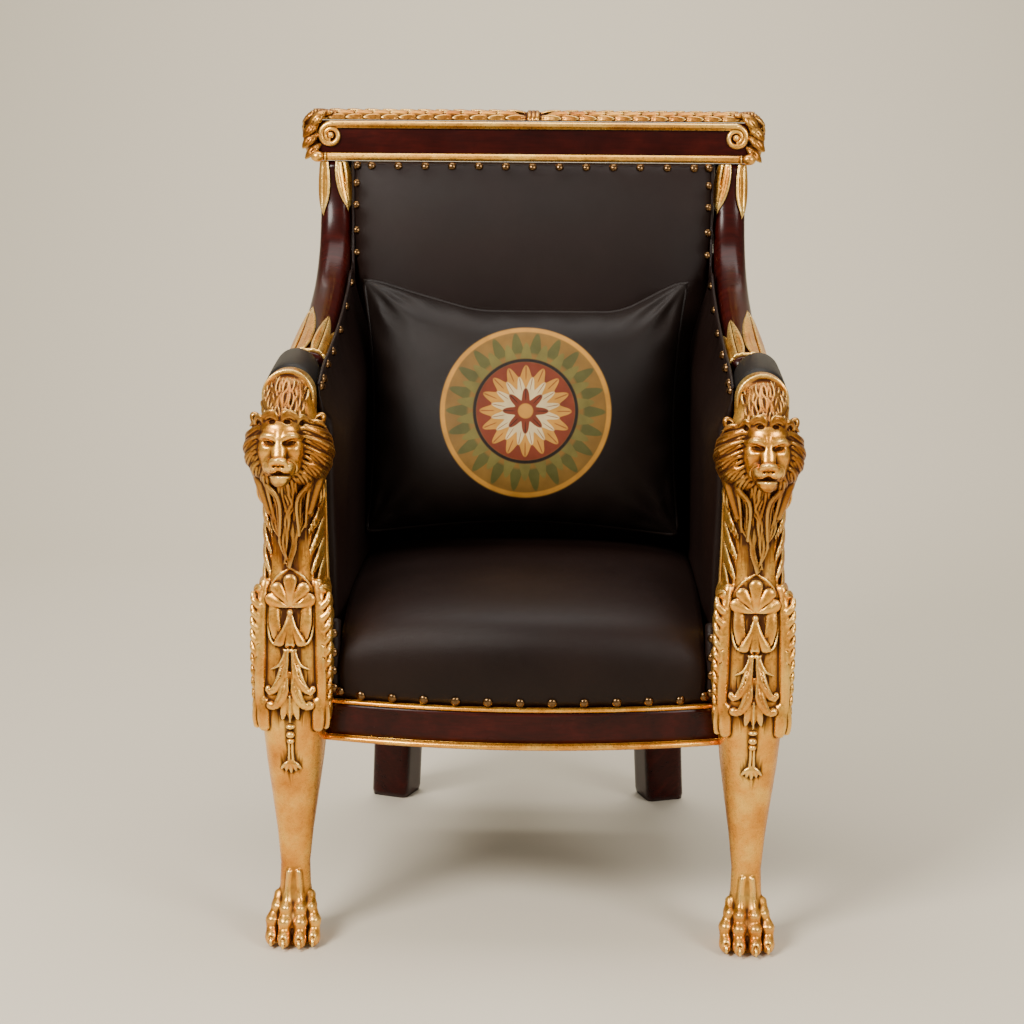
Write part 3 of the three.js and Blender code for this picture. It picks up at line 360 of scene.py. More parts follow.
def hide(name, dark, light, rough, printed=None):
    """Leather: fine pebbled grain, faint cloudiness and a soft sheen. printed(recipe, colour) adds to its
    colour."""
    m = Recipe(name)
    cells = {"Vector": m.place(), "Scale": 900.0}
    pebble = m.add("TexVoronoi", cells, "Distance", feature="DISTANCE_TO_EDGE")
    cloud = m.noise(6, 5)
    color = m.ramp(cloud, (0.3, dark), (0.7, light))
    color = m.mix("MULTIPLY", 0.35, color, m.ramp(pebble, (0.0, 0.5), (0.25, 1)))
    wear = m.mix("MIX", 0.5, m.ramp(cloud, (0.3, rough - 0.05), (0.7, rough + 0.06)),
                 m.ramp(m.noise(70), (0.3, rough - 0.04), (0.7, rough + 0.05)))
    wrinkle = m.mix("ADD", 0.35, m.ramp(pebble, (0, 0), (0.3, 1)), m.noise(45, 6))
    m.set(Base_Color=printed(m, color) if printed else color, Roughness=wear, Specular_IOR_Level=0.145)
    m.bump(wrinkle, 0.30, 0.0004)
    return m.material


def antique_brass():
    m = Recipe("antique_brass")
    m.set(Base_Color=m.ramp(m.noise(300, 3), (0.3, (0.085, 0.045, 0.018)), (0.7, (0.20, 0.110, 0.045))),
          Roughness=m.ramp(m.noise(500, 3), (0.3, 0.20), (0.7, 0.30)), Metallic=1.0)
    return m.material


def medallion(m, plain):
    """A medallion printed on the cushion's front: a sun of petals in a ring, and a wreath of leaves round
    it."""
    amber, cream, rust = (0.50, 0.23, 0.035), (0.62, 0.47, 0.24), (0.17, 0.030, 0.010)
    ground, olive, sage = (0.20, 0.105, 0.022), (0.085, 0.080, 0.020), (0.15, 0.125, 0.03)
    dark = (0.012, 0.007, 0.004)
    u, v = m.attribute("across"), m.attribute("up")
    reach = m.math("SQRT", m.math("ADD", m.math("MULTIPLY", u, u), m.math("MULTIPLY", v, v)))
    angle = m.math("ARCTAN2", v, u)
    made = plain

    def paint(share, color, strength=1.0):
        nonlocal made
        made = m.mix("MIX", m.math("MULTIPLY", share, strength), made, color)

    def waves(count, turn):
        return m.math("COSINE", m.math("MULTIPLY_ADD", angle, count, turn))

    def lobes(count, turn, low, high, hardness):
        """Petals or leaves that reach from low to high."""
        edge = m.math("MULTIPLY_ADD", waves(count, turn), (high - low) / 2, (high + low) / 2)
        return m.math("MULTIPLY", m.math("SUBTRACT", edge, reach), hardness, clamp=True)

    whole = m.within(reach, -1, 0.98, 0.02)
    paint(whole, ground)
    paint(m.within(reach, 0.92, 0.97, 0.015), amber)
    for turn, low, high, color in ((0.0, 0.66, 0.92, olive), (math.pi, 0.60, 0.80, sage)):
        leaf = lobes(22, turn, low, high, 40)
        paint(m.math("MINIMUM", m.within(reach, low, 2), leaf, clamp=True), color)
    paint(m.within(reach, 0.56, 0.60, 0.015), dark)
    paint(m.within(reach, -1, 0.56, 0.015), rust)
    rings = ((16, 0.0, 0.40, 0.53, amber), (16, math.pi, 0.27, 0.40, cream), (8, 0.0, 0.14, 0.27, rust))
    for count, turn, low, high, color in rings:
        paint(lobes(count, turn, low, high, 60), color)
        vein = m.within(waves(count, turn), 0.965, 2, 0.02)
        line = m.math("MINIMUM", vein, m.within(reach, low * 0.9, high - 0.02))
        paint(line, rust if color != rust else dark, 0.7)
    paint(m.within(reach, -1, 0.085, 0.015), amber)
    worn = m.mix("MULTIPLY", 0.55, made, m.noise(45, 5, 0.5))
    return m.mix("MIX", m.math("MULTIPLY", whole, m.attribute("front")), plain, worn)


gilt = gilding("gilt_carved")
gilt_plain = gilding("gilt_plain", carved_marks=False)
mahogany = polished_mahogany()
leather = hide("leather", (0.0076, 0.0034, 0.0026), (0.0122, 0.0056, 0.0042), 0.40)
arm_leather = hide("arm_leather", (0.0085, 0.0072, 0.0066), (0.013, 0.0112, 0.0105), 0.40)
cushion_leather = hide("cushion_leather", (0.0066, 0.0040, 0.0032), (0.0115, 0.0069, 0.0055), 0.42,
                       medallion)
brass = antique_brass()


# ------------------------------------------------------------------ carving


FAR = 0.03  # the distance that untouched voxels hold


class Clay:
    """A block of voxels that holds a signed distance, negative inside. Forms are pressed on or cut in."""

    def __init__(self, low, high, voxel):
        self.low, self.voxel = np.array(low, float), voxel
        shape = np.ceil((np.array(high) - self.low) / voxel).astype(int) + 1
        self.field = np.full(shape, FAR, np.float32)

    def window(self, low, high):
        """The voxels between two corners, and their coordinates as three open axes."""
        last_voxel = np.array(self.field.shape) - 1
        first = np.clip(np.floor((np.asarray(low) - self.low) / self.voxel).astype(int), 0, last_voxel)
        last = np.clip(np.ceil((np.asarray(high) - self.low) / self.voxel).astype(int), first,
                       last_voxel) + 1
        axes = [self.low[k] + self.voxel * np.arange(first[k], last[k]) for k in range(3)]
        x, y, z = (axis.astype(np.float32) for axis in axes)
        part = tuple(slice(a, b) for a, b in zip(first, last))
        return part, (x[:, None, None], y[None, :, None], z[None, None, :])

    def all(self):
        return self.window(self.low, self.low + self.voxel * np.array(self.field.shape))

    def trim(self, outside):
        """Cuts away all that lies where outside(x, y, z) is above 0."""
        part, axes = self.all()
        self.field[part] = np.maximum(self.field[part], np.asarray(outside(*axes)).astype(np.float32))

    def press(self, part, distance, blend):
        """Adds a form, with a fillet of about `blend` where it meets the rest."""
        here = self.field[part]
        h = np.clip(0.5 + 0.5 * (here - distance) / blend, 0, 1)
        self.field[part] = here + (distance - here) * h - blend * h * (1 - h)

    def cut(self, part, distance, blend):
        here = self.field[part]
        h = np.clip(0.5 + 0.5 * (here + distance) / blend, 0, 1)
        self.field[part] = -distance + (here + distance) * h + blend * h * (1 - h)

    def ball(self, centre, radii, blend=0.002, cut=False, turn=None):
        """An ellipsoid. `turn` is a rotation matrix from the block's axes to its own."""
        radii = np.broadcast_to(np.asarray(radii, float), 3)
        reach = radii.max() + blend if turn is not None else radii + blend
        part, (x, y, z) = self.window(np.asarray(centre) - reach, np.asarray(centre) + reach)
        p = [x - centre[0], y - centre[1], z - centre[2]]
        if turn is not None:
            p = [sum(turn[row][k] * p[k] for k in range(3)) for row in range(3)]
        near = np.sqrt(sum((p[k] / radii[k]) ** 2 for k in range(3)))
        slope = np.sqrt(sum((p[k] / radii[k] ** 2) ** 2 for k in range(3)))
        distance = near * (near - 1) / np.maximum(slope, 1e-6)
        (self.cut if cut else self.press)(part, distance, blend)

    def tubes(self, lines, blend=0.002, flat=1.0, facing=None, cut=False):
        """Rounded strands pressed on together. Each line is (points, radii). `flat` squashes their
        height along `facing`."""
        every = np.vstack([points for points, _ in lines])
        reach = max(np.max(radii) for _, radii in lines) + blend
        part, (x, y, z) = self.window(every.min(0) - reach, every.max(0) + reach)
        shape = self.field[part].shape
        distance = np.full(shape, 1.0, np.float32)
        corner = self.low + self.voxel * np.array([s.start for s in part])
        n = None if facing is None else unit(facing)
        for points, radii in lines:
            for a, b, ra, rb in zip(points, points[1:], radii, radii[1:]):
                span = b - a
                length2 = max(float(span @ span), 1e-12)
                grow = max(ra, rb) + 2 * blend + 2 * self.voxel
                low = np.clip(((np.minimum(a, b) - grow - corner) / self.voxel).astype(int), 0, shape)
                high = np.clip(((np.maximum(a, b) + grow - corner) / self.voxel).astype(int) + 2, 0, shape)
                near = tuple(slice(i, j) for i, j in zip(low, high))
                dx, dy, dz = x[near[0]] - a[0], y[:, near[1]] - a[1], z[:, :, near[2]] - a[2]
                t = np.clip((dx * span[0] + dy * span[1] + dz * span[2]) / length2, 0, 1)
                ex, ey, ez = dx - t * span[0], dy - t * span[1], dz - t * span[2]
                away = ex * ex + ey * ey + ez * ez
                if n is not None:
                    away += (ex * n[0] + ey * n[1] + ez * n[2]) ** 2 * (1 / flat**2 - 1)
                found = np.sqrt(away) - (ra + t * (rb - ra))
                distance[near] = np.minimum(distance[near], found)
        (self.cut if cut else self.press)(part, distance, blend)

    def strand(self, points, width, blend=0.002, flat=1.0, facing=None, cut=False, steps=9):
        """One strand. width(t) is its half width along it, or a plain number."""
        line = spline(points, steps)
        t = np.linspace(0, 1, steps)
        radii = np.array([width(v) for v in t]) if callable(width) else np.full(steps, width)
        self.tubes([(line, np.maximum(radii, 0.0003))], blend, flat, facing, cut)

    def pit(self, *form, **more):
        """A ball cut out."""
        self.ball(*form, cut=True, **more)

    def groove(self, *form, **more):
        """A strand cut in."""
        self.strand(*form, cut=True, **more)

    def pipe(self, points, radius, blend, **more):
        """A tube of even or given radii through points, as they are."""
        self.tubes([(np.asarray(points), np.broadcast_to(radius, len(points)))], blend, **more)

    def lock(self, points, width, facing, strands=3, blend=0.0012, steps=9, ripple=0.0):
        """A lock of hair: strands side by side that part at grooves and meet at the tip."""
        line = spline(points, steps)
        t = np.linspace(0, 1, steps)
        w = np.array([width(v) for v in t])
        across = unit(np.cross(np.gradient(line, axis=0), facing))
        out = unit(facing)
        lines = []
        for i in range(strands):
            side = (i - (strands - 1) / 2) / strands * 1.5
            wave = ripple * np.sin(2 * math.pi * (1.3 * t + 0.37 * i))
            lift = -0.35 * abs(side) * w
            shifted = line + across * (side * w + wave)[:, None] + out * lift[:, None]
            lines.append((shifted, np.maximum(w * 1.05 / strands, 0.0007)))
        core = line - out * (w * 0.62)[:, None]
        lines.append((core, np.maximum(w * 0.42, 0.0005)))
        self.tubes(lines, blend)

    def surface(self):
        """Points and quads of the skin where the distance is zero (surface nets)."""
        f = self.field
        inside = f < 0
        corners = [inside[i : i - 1 or None, j : j - 1 or None, k : k - 1 or None]
                   for i in (0, 1) for j in (0, 1) for k in (0, 1)]
        some = np.zeros(corners[0].shape, bool)
        every = np.ones(corners[0].shape, bool)
        for corner in corners:
            some |= corner
            every &= corner
        cells = np.argwhere(some & ~every)
        number = np.full(some.shape, -1, np.int32)
        number[tuple(cells.T)] = np.arange(len(cells))
        total, count = np.zeros((len(cells), 3)), np.zeros(len(cells))
        for axis in range(3):
            for j in (0, 1):
                for k in (0, 1):
                    start = np.zeros(3, int)
                    start[[a for a in range(3) if a != axis]] = (j, k)
                    end = start.copy()
                    end[axis] = 1
                    a, b = f[tuple((cells + start).T)], f[tuple((cells + end).T)]
                    crossed = (a < 0) != (b < 0)
                    t = np.where(crossed, a / np.where(crossed, a - b, 1), 0)
                    where = start + t[:, None] * (end - start)
                    total[crossed] += where[crossed]
                    count[crossed] += 1
        points = self.low + self.voxel * (cells + total / np.maximum(count, 1)[:, None])
        quads = []
        for axis in range(3):
            one, two = [a for a in range(3) if a != axis]
            low = [slice(1, -1)] * 3
            low[axis] = slice(0, -1)
            high = list(low)
            high[axis] = slice(1, None)
            a, b = inside[tuple(low)], inside[tuple(high)]
            edges = np.argwhere(a != b) + 1
            edges[:, axis] -= 1
            rising = b[tuple((edges - 1 + np.eye(3, dtype=int)[axis]).T)]
            around = []
            for j, k in ((-1, -1), (0, -1), (0, 0), (-1, 0)):
                cell = edges.copy()
                cell[:, one] += j
                cell[:, two] += k
                around.append(number[tuple(cell.T)])
            quad = np.stack(around, 1)
            flip = rising if axis != 1 else ~rising
            quad[flip] = quad[flip][:, ::-1]
            quads.append(quad)
        quads = np.vstack(quads)
        return points, quads[(quads >= 0).all(1)]

    def hollows(self, points, radius):
        """How much wood is near each point, from 0 on a sharp ridge, by 0.5 on the flat, to 1 in a pit."""
        reach = max(1, round(radius / self.voxel))
        solid = np.clip(0.5 - self.field / self.voxel, 0, 1).astype(np.float32)
        for axis in range(3):
            sums = np.cumsum(solid, axis=axis, dtype=np.float32)
            steps = np.arange(solid.shape[axis])
            ahead = np.take(sums, np.minimum(steps + reach, steps[-1]), axis)
            behind = np.take(sums, np.maximum(steps - reach - 1, 0), axis)
            solid = (ahead - behind) / (2 * reach + 1)
        place = np.clip((points - self.low) / self.voxel, 0, np.array(solid.shape) - 1.001)
        at = place.astype(int)
        part = place - at
        found = np.zeros(len(points))
        for corner in np.ndindex(2, 2, 2):
            weight = np.abs(1 - np.array(corner) - part).prod(axis=1)
            found += weight * solid[tuple((at + corner).T)]
        return found


FINE, BROAD = 0.0025, 0.007  # how far round a point its hollows are judged


def carved(name, clay, material, triangles, umber=0.0):
    """The clay's skin as a piece, thinned to a number of triangles, with its hollows marked, and where its
    gilding is browner: a share, or a function of the points."""
    points, quads = clay.surface()
    data = bpy.data.meshes.new(name)
    data.materials.append(material)
    placed = points + (0, FRONT, 0)
    data.vertices.add(len(points))
    data.vertices.foreach_set("co", placed.astype(np.float32).ravel())
    data.loops.add(quads.size)
    data.loops.foreach_set("vertex_index", quads.astype(np.int32).ravel())
    data.polygons.add(len(quads))
    data.polygons.foreach_set("loop_start", np.arange(0, quads.size, 4, dtype=np.int32))
    data.update(calc_edges=True)
    data.validate()
    piece = new_piece(name, data)
    if 2 * len(quads) > triangles:
        modified(piece, "DECIMATE", ratio=triangles / (2 * len(quads)))
    smooth(piece)
    where = coordinates(piece)
    store(piece, "fine_hollow", clay.hollows(where, FINE))
    store(piece, "broad_hollow", clay.hollows(where, BROAD))
    store(piece, "umber", umber(where) if callable(umber) else np.full(len(where), umber))
    return piece


def mirrored_copy(piece, name):
    """The same piece on the other side of the chair."""
    data = piece.data.copy()
    data.name = name
    data.transform(Matrix.Scale(-1, 4, (1, 0, 0)))
    data.flip_normals()
    return new_piece(name, data)
# ------------------------------------------------------------------ lion monopodium


def body_at(z):
    """The body's half width, middle, half depth, squareness and taper at a height (in metres)."""
    level = np.asarray(z) / MM
    half, front, back, square, narrow = (np.interp(level, BODY[:, 0], BODY[:, k]) for k in (1, 2, 3, 4, 5))
    return half * MM, (front + back) / 2 * MM, (back - front) / 2 * MM, square, narrow


def body_rear(z):
    _, middle, deep, _, _ = body_at(z)
    return middle + deep


def tapered(narrow, along):
    """How wide the body is beside its back, from -1 at its front to 1 at its back."""
    return mix(narrow, 1, (np.clip(along, -1, 1) + 1) / 2)


def on_front(dx, z, lift=0.0):
    """A point on the body's front: dx, z and lift in millimetres."""
    half, middle, deep, square, narrow = body_at(z * MM)
    across = min(abs(dx * MM / (half * narrow)), 0.97)
    y = middle - deep * (1 - across**square) ** (1 / square)
    return np.array([LION_X + dx * MM, y - lift * MM, z * MM])


def on_side(side, y, z, lift=0.0):
    """A point on the body's side, 1 outside and -1 inside, in millimetres."""
    half, middle, deep, square, narrow = body_at(z * MM)
    along = float(np.clip((y * MM - middle) / deep, -0.97, 0.97))
    dx = half * tapered(narrow, along) * (1 - abs(along) ** square) ** (1 / square)
    return np.array([LION_X + side * (dx + lift * MM), y * MM, z * MM])


def on_head(dx, forward, up):
    """A point of the face in millimetres: sideways, forward of the legs' front, and up from the eyes."""
    return np.array([LION_X + OUT + dx * MM, -forward * MM, EYES + up * MM])


def on_mane(dx, forward, up):
    """The same for the mane, which stands round the leg's middle, up from its own middle."""
    return np.array([LION_X + dx * MM, -forward * MM, MANE + up * MM])


def leafy(w):
    """Half widths of a petal or lock in millimetres: swelling, then pointed."""
    return lambda t: w * MM * math.sin(math.pi * (0.12 + 0.86 * t)) ** 0.8


def tapering(w, tip=0.12):
    return lambda t: w * MM * (tip + (1 - tip) * math.sqrt(max(0.0, 1 - t * t)))


def dropping(w, root=0.25):
    """Thin at the root and full at the end."""
    return lambda t: w * MM * (root + (1 - root) * math.sin(math.pi * min(1, 0.1 + 0.72 * t)) ** 1.2)


AHEAD = np.array([0.0, -1.0, 0.0])


def carve_body(clay):
    part, (x, y, z) = clay.all()
    half, middle, deep, square, narrow = (v.astype(np.float32) for v in body_at(z))
    along = (y - middle) / deep
    u, v = np.abs((x - LION_X) / (half * tapered(narrow, along).astype(np.float32))), np.abs(along)
    r = (u**square + v**square + 1e-9) ** (1 / square)
    distance = (r - 1) * np.minimum(half, deep)
    ends = np.maximum(-z - 0.01, z - BODY[-1, 0] * MM)
    clay.field[part] = np.maximum(distance, ends).astype(np.float32)


def carve_paw(clay):
    """Four short toes under a row of knuckles, parted by dark clefts low down, with small claws."""
    clay.ball((LION_X, 0.016, 0.024), (0.0315, 0.036, 0.036), 0.006)
    for dx in (-27.5, -10.5, 10.5, 27.5):
        outer = abs(dx) > 20
        back = 9 if outer else 0
        x = LION_X + dx * MM
        knuckle_x = LION_X + dx * (0.80 if outer else 0.92) * MM
        clay.ball((knuckle_x, (-5 + back) * MM, 0.050), (0.0085, 0.0125, 0.0085), 0.004)
        clay.strand([(mix(LION_X, x, 0.75), (4 + back) * MM, 0.062), (knuckle_x, (-7 + back) * MM, 0.048),
                     (x, (-14 + back) * MM, 0.034), (x, (-24 + back) * MM,
                                                     0.014)], lambda t: (7.2 + 0.8 * t) * MM, 0.003)
        clay.ball((x, (-15 + back) * MM, 0.0335), (0.0094, 0.0105, 0.0085), 0.003)
        clay.ball((x, (-25 + back) * MM, 0.0130), (0.0088, 0.0115, 0.0115), 0.003)
        clay.pit((x, (-35.5 + back) * MM, 0.0145), (0.0030, 0.0035, 0.0042), 0.0006)
        claw = [(x, (-32 + back) * MM, 0.0150), (x, (-37 + back) * MM, 0.0105),
                (x, (-38.5 + back) * MM, 0.0045)]
        clay.strand(claw, tapering(2.6, 0.3), 0.0004)
    for dx, top in ((-19, 0.030), (0, 0.028), (19, 0.030)):
        y = -24 if dx == 0 else -18
        clay.groove([(LION_X + dx * MM, (y + 8) * MM, top), (LION_X + dx * MM, (y - 4) * MM, 0.014),
                     (LION_X + dx * MM, (y - 6) * MM, -0.004)], lambda t: (0.8 + 2.0 * t) * MM, 0.002)
    for dx in (-8, 8):
        clay.strand(path(on_front, (dx * 0.8, 96, 0.8), (dx, 76, 0.4), (dx * 1.05, 60, 0)), 0.0030, 0.004)


def carve_shell(clay):
    """The palmette at the top of the ornament, under a pointed arch."""
    foot = 457
    for degrees in (-68, 68, -35, 35, 0):
        a = math.radians(degrees)
        reach = 35 - 10 * abs(math.sin(a))
        tip = (reach * math.sin(a), foot + reach * math.cos(a))
        line = [on_front(0, foot, 0.5), on_front(tip[0] * 0.5, mix(foot, tip[1], 0.5), 3.6),
                on_front(*tip, 2)]
        clay.strand(line, lambda t: (1.0 + 8.0 * t**0.95) * MM, 0.0008, 0.45, AHEAD)
        vein = [p + AHEAD * 0.0032 for p in line]
        clay.groove(vein[:2], 0.0006, 0.0009, steps=5)
    for degrees in (-51, -17, 17, 51):
        a = math.radians(degrees)
        s, c = math.sin(a), math.cos(a)
        line = path(on_front, (6 * s, foot + 6 * c, 4), (26 * s, foot + 27 * c, 6),
                    (34 * s, foot + 36 * c, 4))
        clay.groove(line, 0.0009, 0.0014)
    for side in (-1, 1):
        arch = path(on_front, (29, 462, 1), (27, 480, 1), (17, 497, 1), (0, 508, 1), side=side)
        clay.strand(arch, 0.0013, 0.0014)


def carve_bell(clay):
    """A bell flower of three petals with a dark mouth, between two strapwork shields."""
    clay.ball(on_front(0, 451, 3), 0.0042, 0.0014)
    for s in (-1, 1, 0):
        line = path(on_front, (1.5, 450, 3), (5, 432, 4.5), (13.5, 413 - 4 * (s == 0), 3.5), side=s)
        clay.strand(line, lambda t: (1.6 + 5.0 * t) * MM, 0.0007, 0.6, AHEAD)
    for s in (-0.5, 0.5):
        clay.groove(path(on_front, (2, 446, 7), (7, 428, 8.5), (13, 408, 6), side=s), 0.0009, 0.0012)
    clay.pit(on_front(0, 405, 8), (0.0085, 0.0065, 0.0040), 0.001)
    clay.strand([on_front(dx, 403 - 3 * math.cos(dx / 6), 2.5) for dx in (-8, -4, 0, 4, 8)], 0.0013, 0.0008)
    for s in (-1, 1):
        shield = path(on_front, (21, 461, 0.5), (20.5, 438, 2.5), (17, 420, 0.5), side=s)
        clay.strand(shield, dropping(7.6, 0.8), 0.001, 0.42, AHEAD)
        edge = path(on_front, (29, 463, 1), (29.5, 438, 2), (27, 418, 2.5), (20, 409, 3.5), (15, 413, 3.5),
                    (16, 418, 3), side=s)
        clay.strand(edge, 0.0016, 0.001, steps=14)


def carve_drapery(clay):
    """Two pairs of curled leaves that hang from the bell, ribbons over them, the bud and the drop below."""
    for s in (-1, 1):
        forms = [
            # points, half width, flatness
            ([(6, 401, 2), (9, 392, 3), (15, 382, 4), (26, 376, 2.5)], tapering(1.9, 0.5), 0.9),
            ([(4, 400, 1.5), (8, 378, 3.5), (15, 358, 4), (24, 347, 3.5), (30, 347, 3), (31, 354, 2.5)],
             leafy(6.4), 0.5),
            ([(3, 372, 2), (7, 352, 4), (13, 336, 4.5), (22, 327, 4), (29, 331, 2.5)], leafy(6.8), 0.55),
            ([(2.4, 402, 3), (5.2, 372, 4.5), (5.6, 340, 2.5)], tapering(2.3, 0.5), 0.9),
        ]
        for points, width, flat in forms:
            clay.strand(path(on_front, *points, side=s), width, 0.0012, flat, AHEAD, steps=13)
        clay.ball(on_front(s * 29, 350, 3.0), (0.0040, 0.0035, 0.0048), 0.0015)
        clay.ball(on_front(s * 25, 329, 3.0), (0.0062, 0.0042, 0.0058), 0.002)
        veins = [
            [(6, 392, 5), (11, 372, 6.8), (19, 353, 6.8), (27, 351, 5.5)],
            [(6, 366, 6), (9.5, 348, 7.6), (16, 335, 7.8)],
            [(9, 384, 4.5), (14, 366, 5.6), (22, 354, 6.4)],
        ]
        for points in veins:
            clay.groove(path(on_front, *points, side=s), 0.0007, 0.001, steps=11)
    clay.groove(path(on_front, (0, 398, 4), (0, 372, 5), (0, 352, 4)), 0.0018, 0.001)
    for s in (-1, 1, 0):
        line = path(on_front, (2, 346, 2), (7.5, 324, 3.5), (10.5, 309, 1.5), side=s)
        clay.strand(line, leafy(5.4 if s else 5.0), 0.0008, 0.6, AHEAD)
    clay.strand(path(on_front, (0, 342, 5.5), (0, 322, 6.5), (0, 308, 4)), 0.0012, 0.0006)
    for s in (-1, 1):
        clay.groove(path(on_front, (3.6, 338, 6), (4.6, 322, 6.5), (4.4, 308, 5), side=s), 0.0007, 0.0009)
    clay.ball(on_front(0, 301, 1), (0.0062, 0.0042, 0.0034), 0.001)
    clay.ball(on_front(0, 290, 1), (0.0056, 0.0046, 0.0046), 0.0008)
    clay.ball(on_front(0, 281.5, 1), (0.0050, 0.0042, 0.0038), 0.0008)
    for s in (-1, 1):
        clay.strand(path(on_front, (2.0, 279, 1), (2.0, 266, 1.2), (3.0, 250, 0.8), side=s), 0.0017, 0.0006)
    for s in (-2, -1, 0, 1, 2):
        line = path(on_front, (0, 255, 0.6), (4.4, 248, 2.2), (7, 241 - 3 * (2 - abs(s)), 0.6), side=s)
        clay.strand(line, leafy(2.9), 0.0006, 0.7, AHEAD)


def carve_side_leaves(clay):
    """An acanthus leaf wraps each side of the thigh: a smooth bright band down the front corner, lobes that
    break out behind it, and a scalloped foot."""
    for side in (-1, 1):
        band = [(LION_X + side * dx * MM, y * MM, z * MM) for dx, y, z in
                ((34, 12, 486), (37.5, 6, 462), (39.5, 1, 420), (40, -2.5, 360), (39, -3, 312))]
        clay.strand(band, lambda t: (5.5 + 2.8 * math.sin(math.pi * min(1, 0.12 + 0.8 * t)) ** 0.7) * MM,
                    0.003, steps=16)
        for z in np.linspace(466, 322, 10):
            swell = math.sin(math.pi * (500 - z) / 200) ** 0.6
            x, y = LION_X + side * (43 + 3.5 * swell) * MM, (6 - 8 * swell) * MM
            tip = [(x - side * 0.004, y, (z - 7) * MM), (x + side * 0.0025, y + 0.001, z * MM),
                   (x + side * 0.0040, y + 0.004, (z + 8) * MM)]
            clay.strand(tip, lambda t: (5.6 - 2.6 * t) * MM, 0.0007)
            clay.groove([(x - side * 0.006, y - 0.0055, (z + 8) * MM),
                         (x + side * 0.002, y - 0.004, (z + 3) * MM), (x + side * 0.006, y, (z + 3) * MM)],
                        0.0008, 0.0010, steps=6)
        facing = (side, -0.45, 0)
        for row, z in enumerate(np.linspace(470, 322, 9)):
            swell = math.sin(math.pi * (row + 1.4) / 11)
            lobe = [(LION_X + side * mix(38, 42, swell) * MM, 4 * MM, (z + 12) * MM),
                    (LION_X + side * (43 + 6 * swell) * MM, 13 * MM, (z + 6) * MM),
                    (LION_X + side * (42.5 + 6.5 * swell) * MM, 25 * MM, (z - 9) * MM)]
            clay.strand(lobe, leafy(7.8), 0.0010, 0.5, facing)
            clay.groove([p + side * np.array([0.0035, 0, 0]) for p in np.array(lobe)[:2]], 0.0007, 0.0010,
                        steps=5)
            back = [on_side(side, 24, z + 16, 3), on_side(side, 48, z + 5, 3 + 3 * swell),
                    on_side(side, 70, z - 12, 2 + 2 * swell)]
            clay.strand(back, leafy(10.5), 0.0012, 0.40, (side, 0, 0))
            clay.groove([p + side * np.array([0.0046, 0, 0]) for p in back[:2]], 0.0007, 0.0010, steps=5)
        clay.strand([on_side(side, 80, z, 1) for z in (478, 400, 320)], 0.0026, 0.0015)
        for x, y in ((35, -7), (45, -3)):
            foot = [(LION_X + side * x * MM, y * MM, 0.332),
                    (LION_X + side * (x + 1) * MM, (y - 1) * MM, 0.312),
                    (LION_X + side * x * MM, y * MM, 0.300)]
            clay.strand(foot, dropping(8.2 if x < 40 else 5.2, 0.8), 0.0018, 0.7, AHEAD)
        for y in (14, 30, 48, 68):
            x = mix(44.5, 41, y / 68)
            foot = [(LION_X + side * (x - 1) * MM, y * MM, 0.334),
                    (LION_X + side * (x + 3) * MM, y * MM, 0.316),
                    (LION_X + side * (x + 1) * MM, y * MM, 0.303)]
            clay.strand(foot, dropping(9.2, 0.8), 0.0012, 0.5, (side, -0.3 if y < 0 else 0, 0))


def carve_shaft(clay):
    """Between chest and thigh: a fillet up each front corner and half leaves up each side."""
    for side in (-1, 1):
        clay.strand([on_front(side * 27.5, z, 0.4) for z in (484, 510, 536, 556)], 0.0017, 0.001)
        for y, r in ((70, 2.0), (80, 2.6)):
            clay.strand([on_side(side, y, z, 0.6) for z in (478, 520, 560, 612)], r * MM, 0.0012)
        for z in np.linspace(482, 590, 5):
            leaf = [on_side(side, 12, z - 8, 0.8), on_side(side, 27, z + 12, 2.8),
                    on_side(side, 56, z + 30, 1.2)]
            clay.strand(leaf, leafy(9.5), 0.001, 0.34, (side, -0.2, 0))
            vein = [p + side * np.array([0.0034, 0, 0]) for p in leaf]
            clay.groove(vein, 0.0008, 0.0010)
            under = [on_side(side, 14, z - 16, 3.5), on_side(side, 30, z + 2, 4.5),
                     on_side(side, 60, z + 20, 3.5)]
            clay.groove(under, 0.0009, 0.0012)


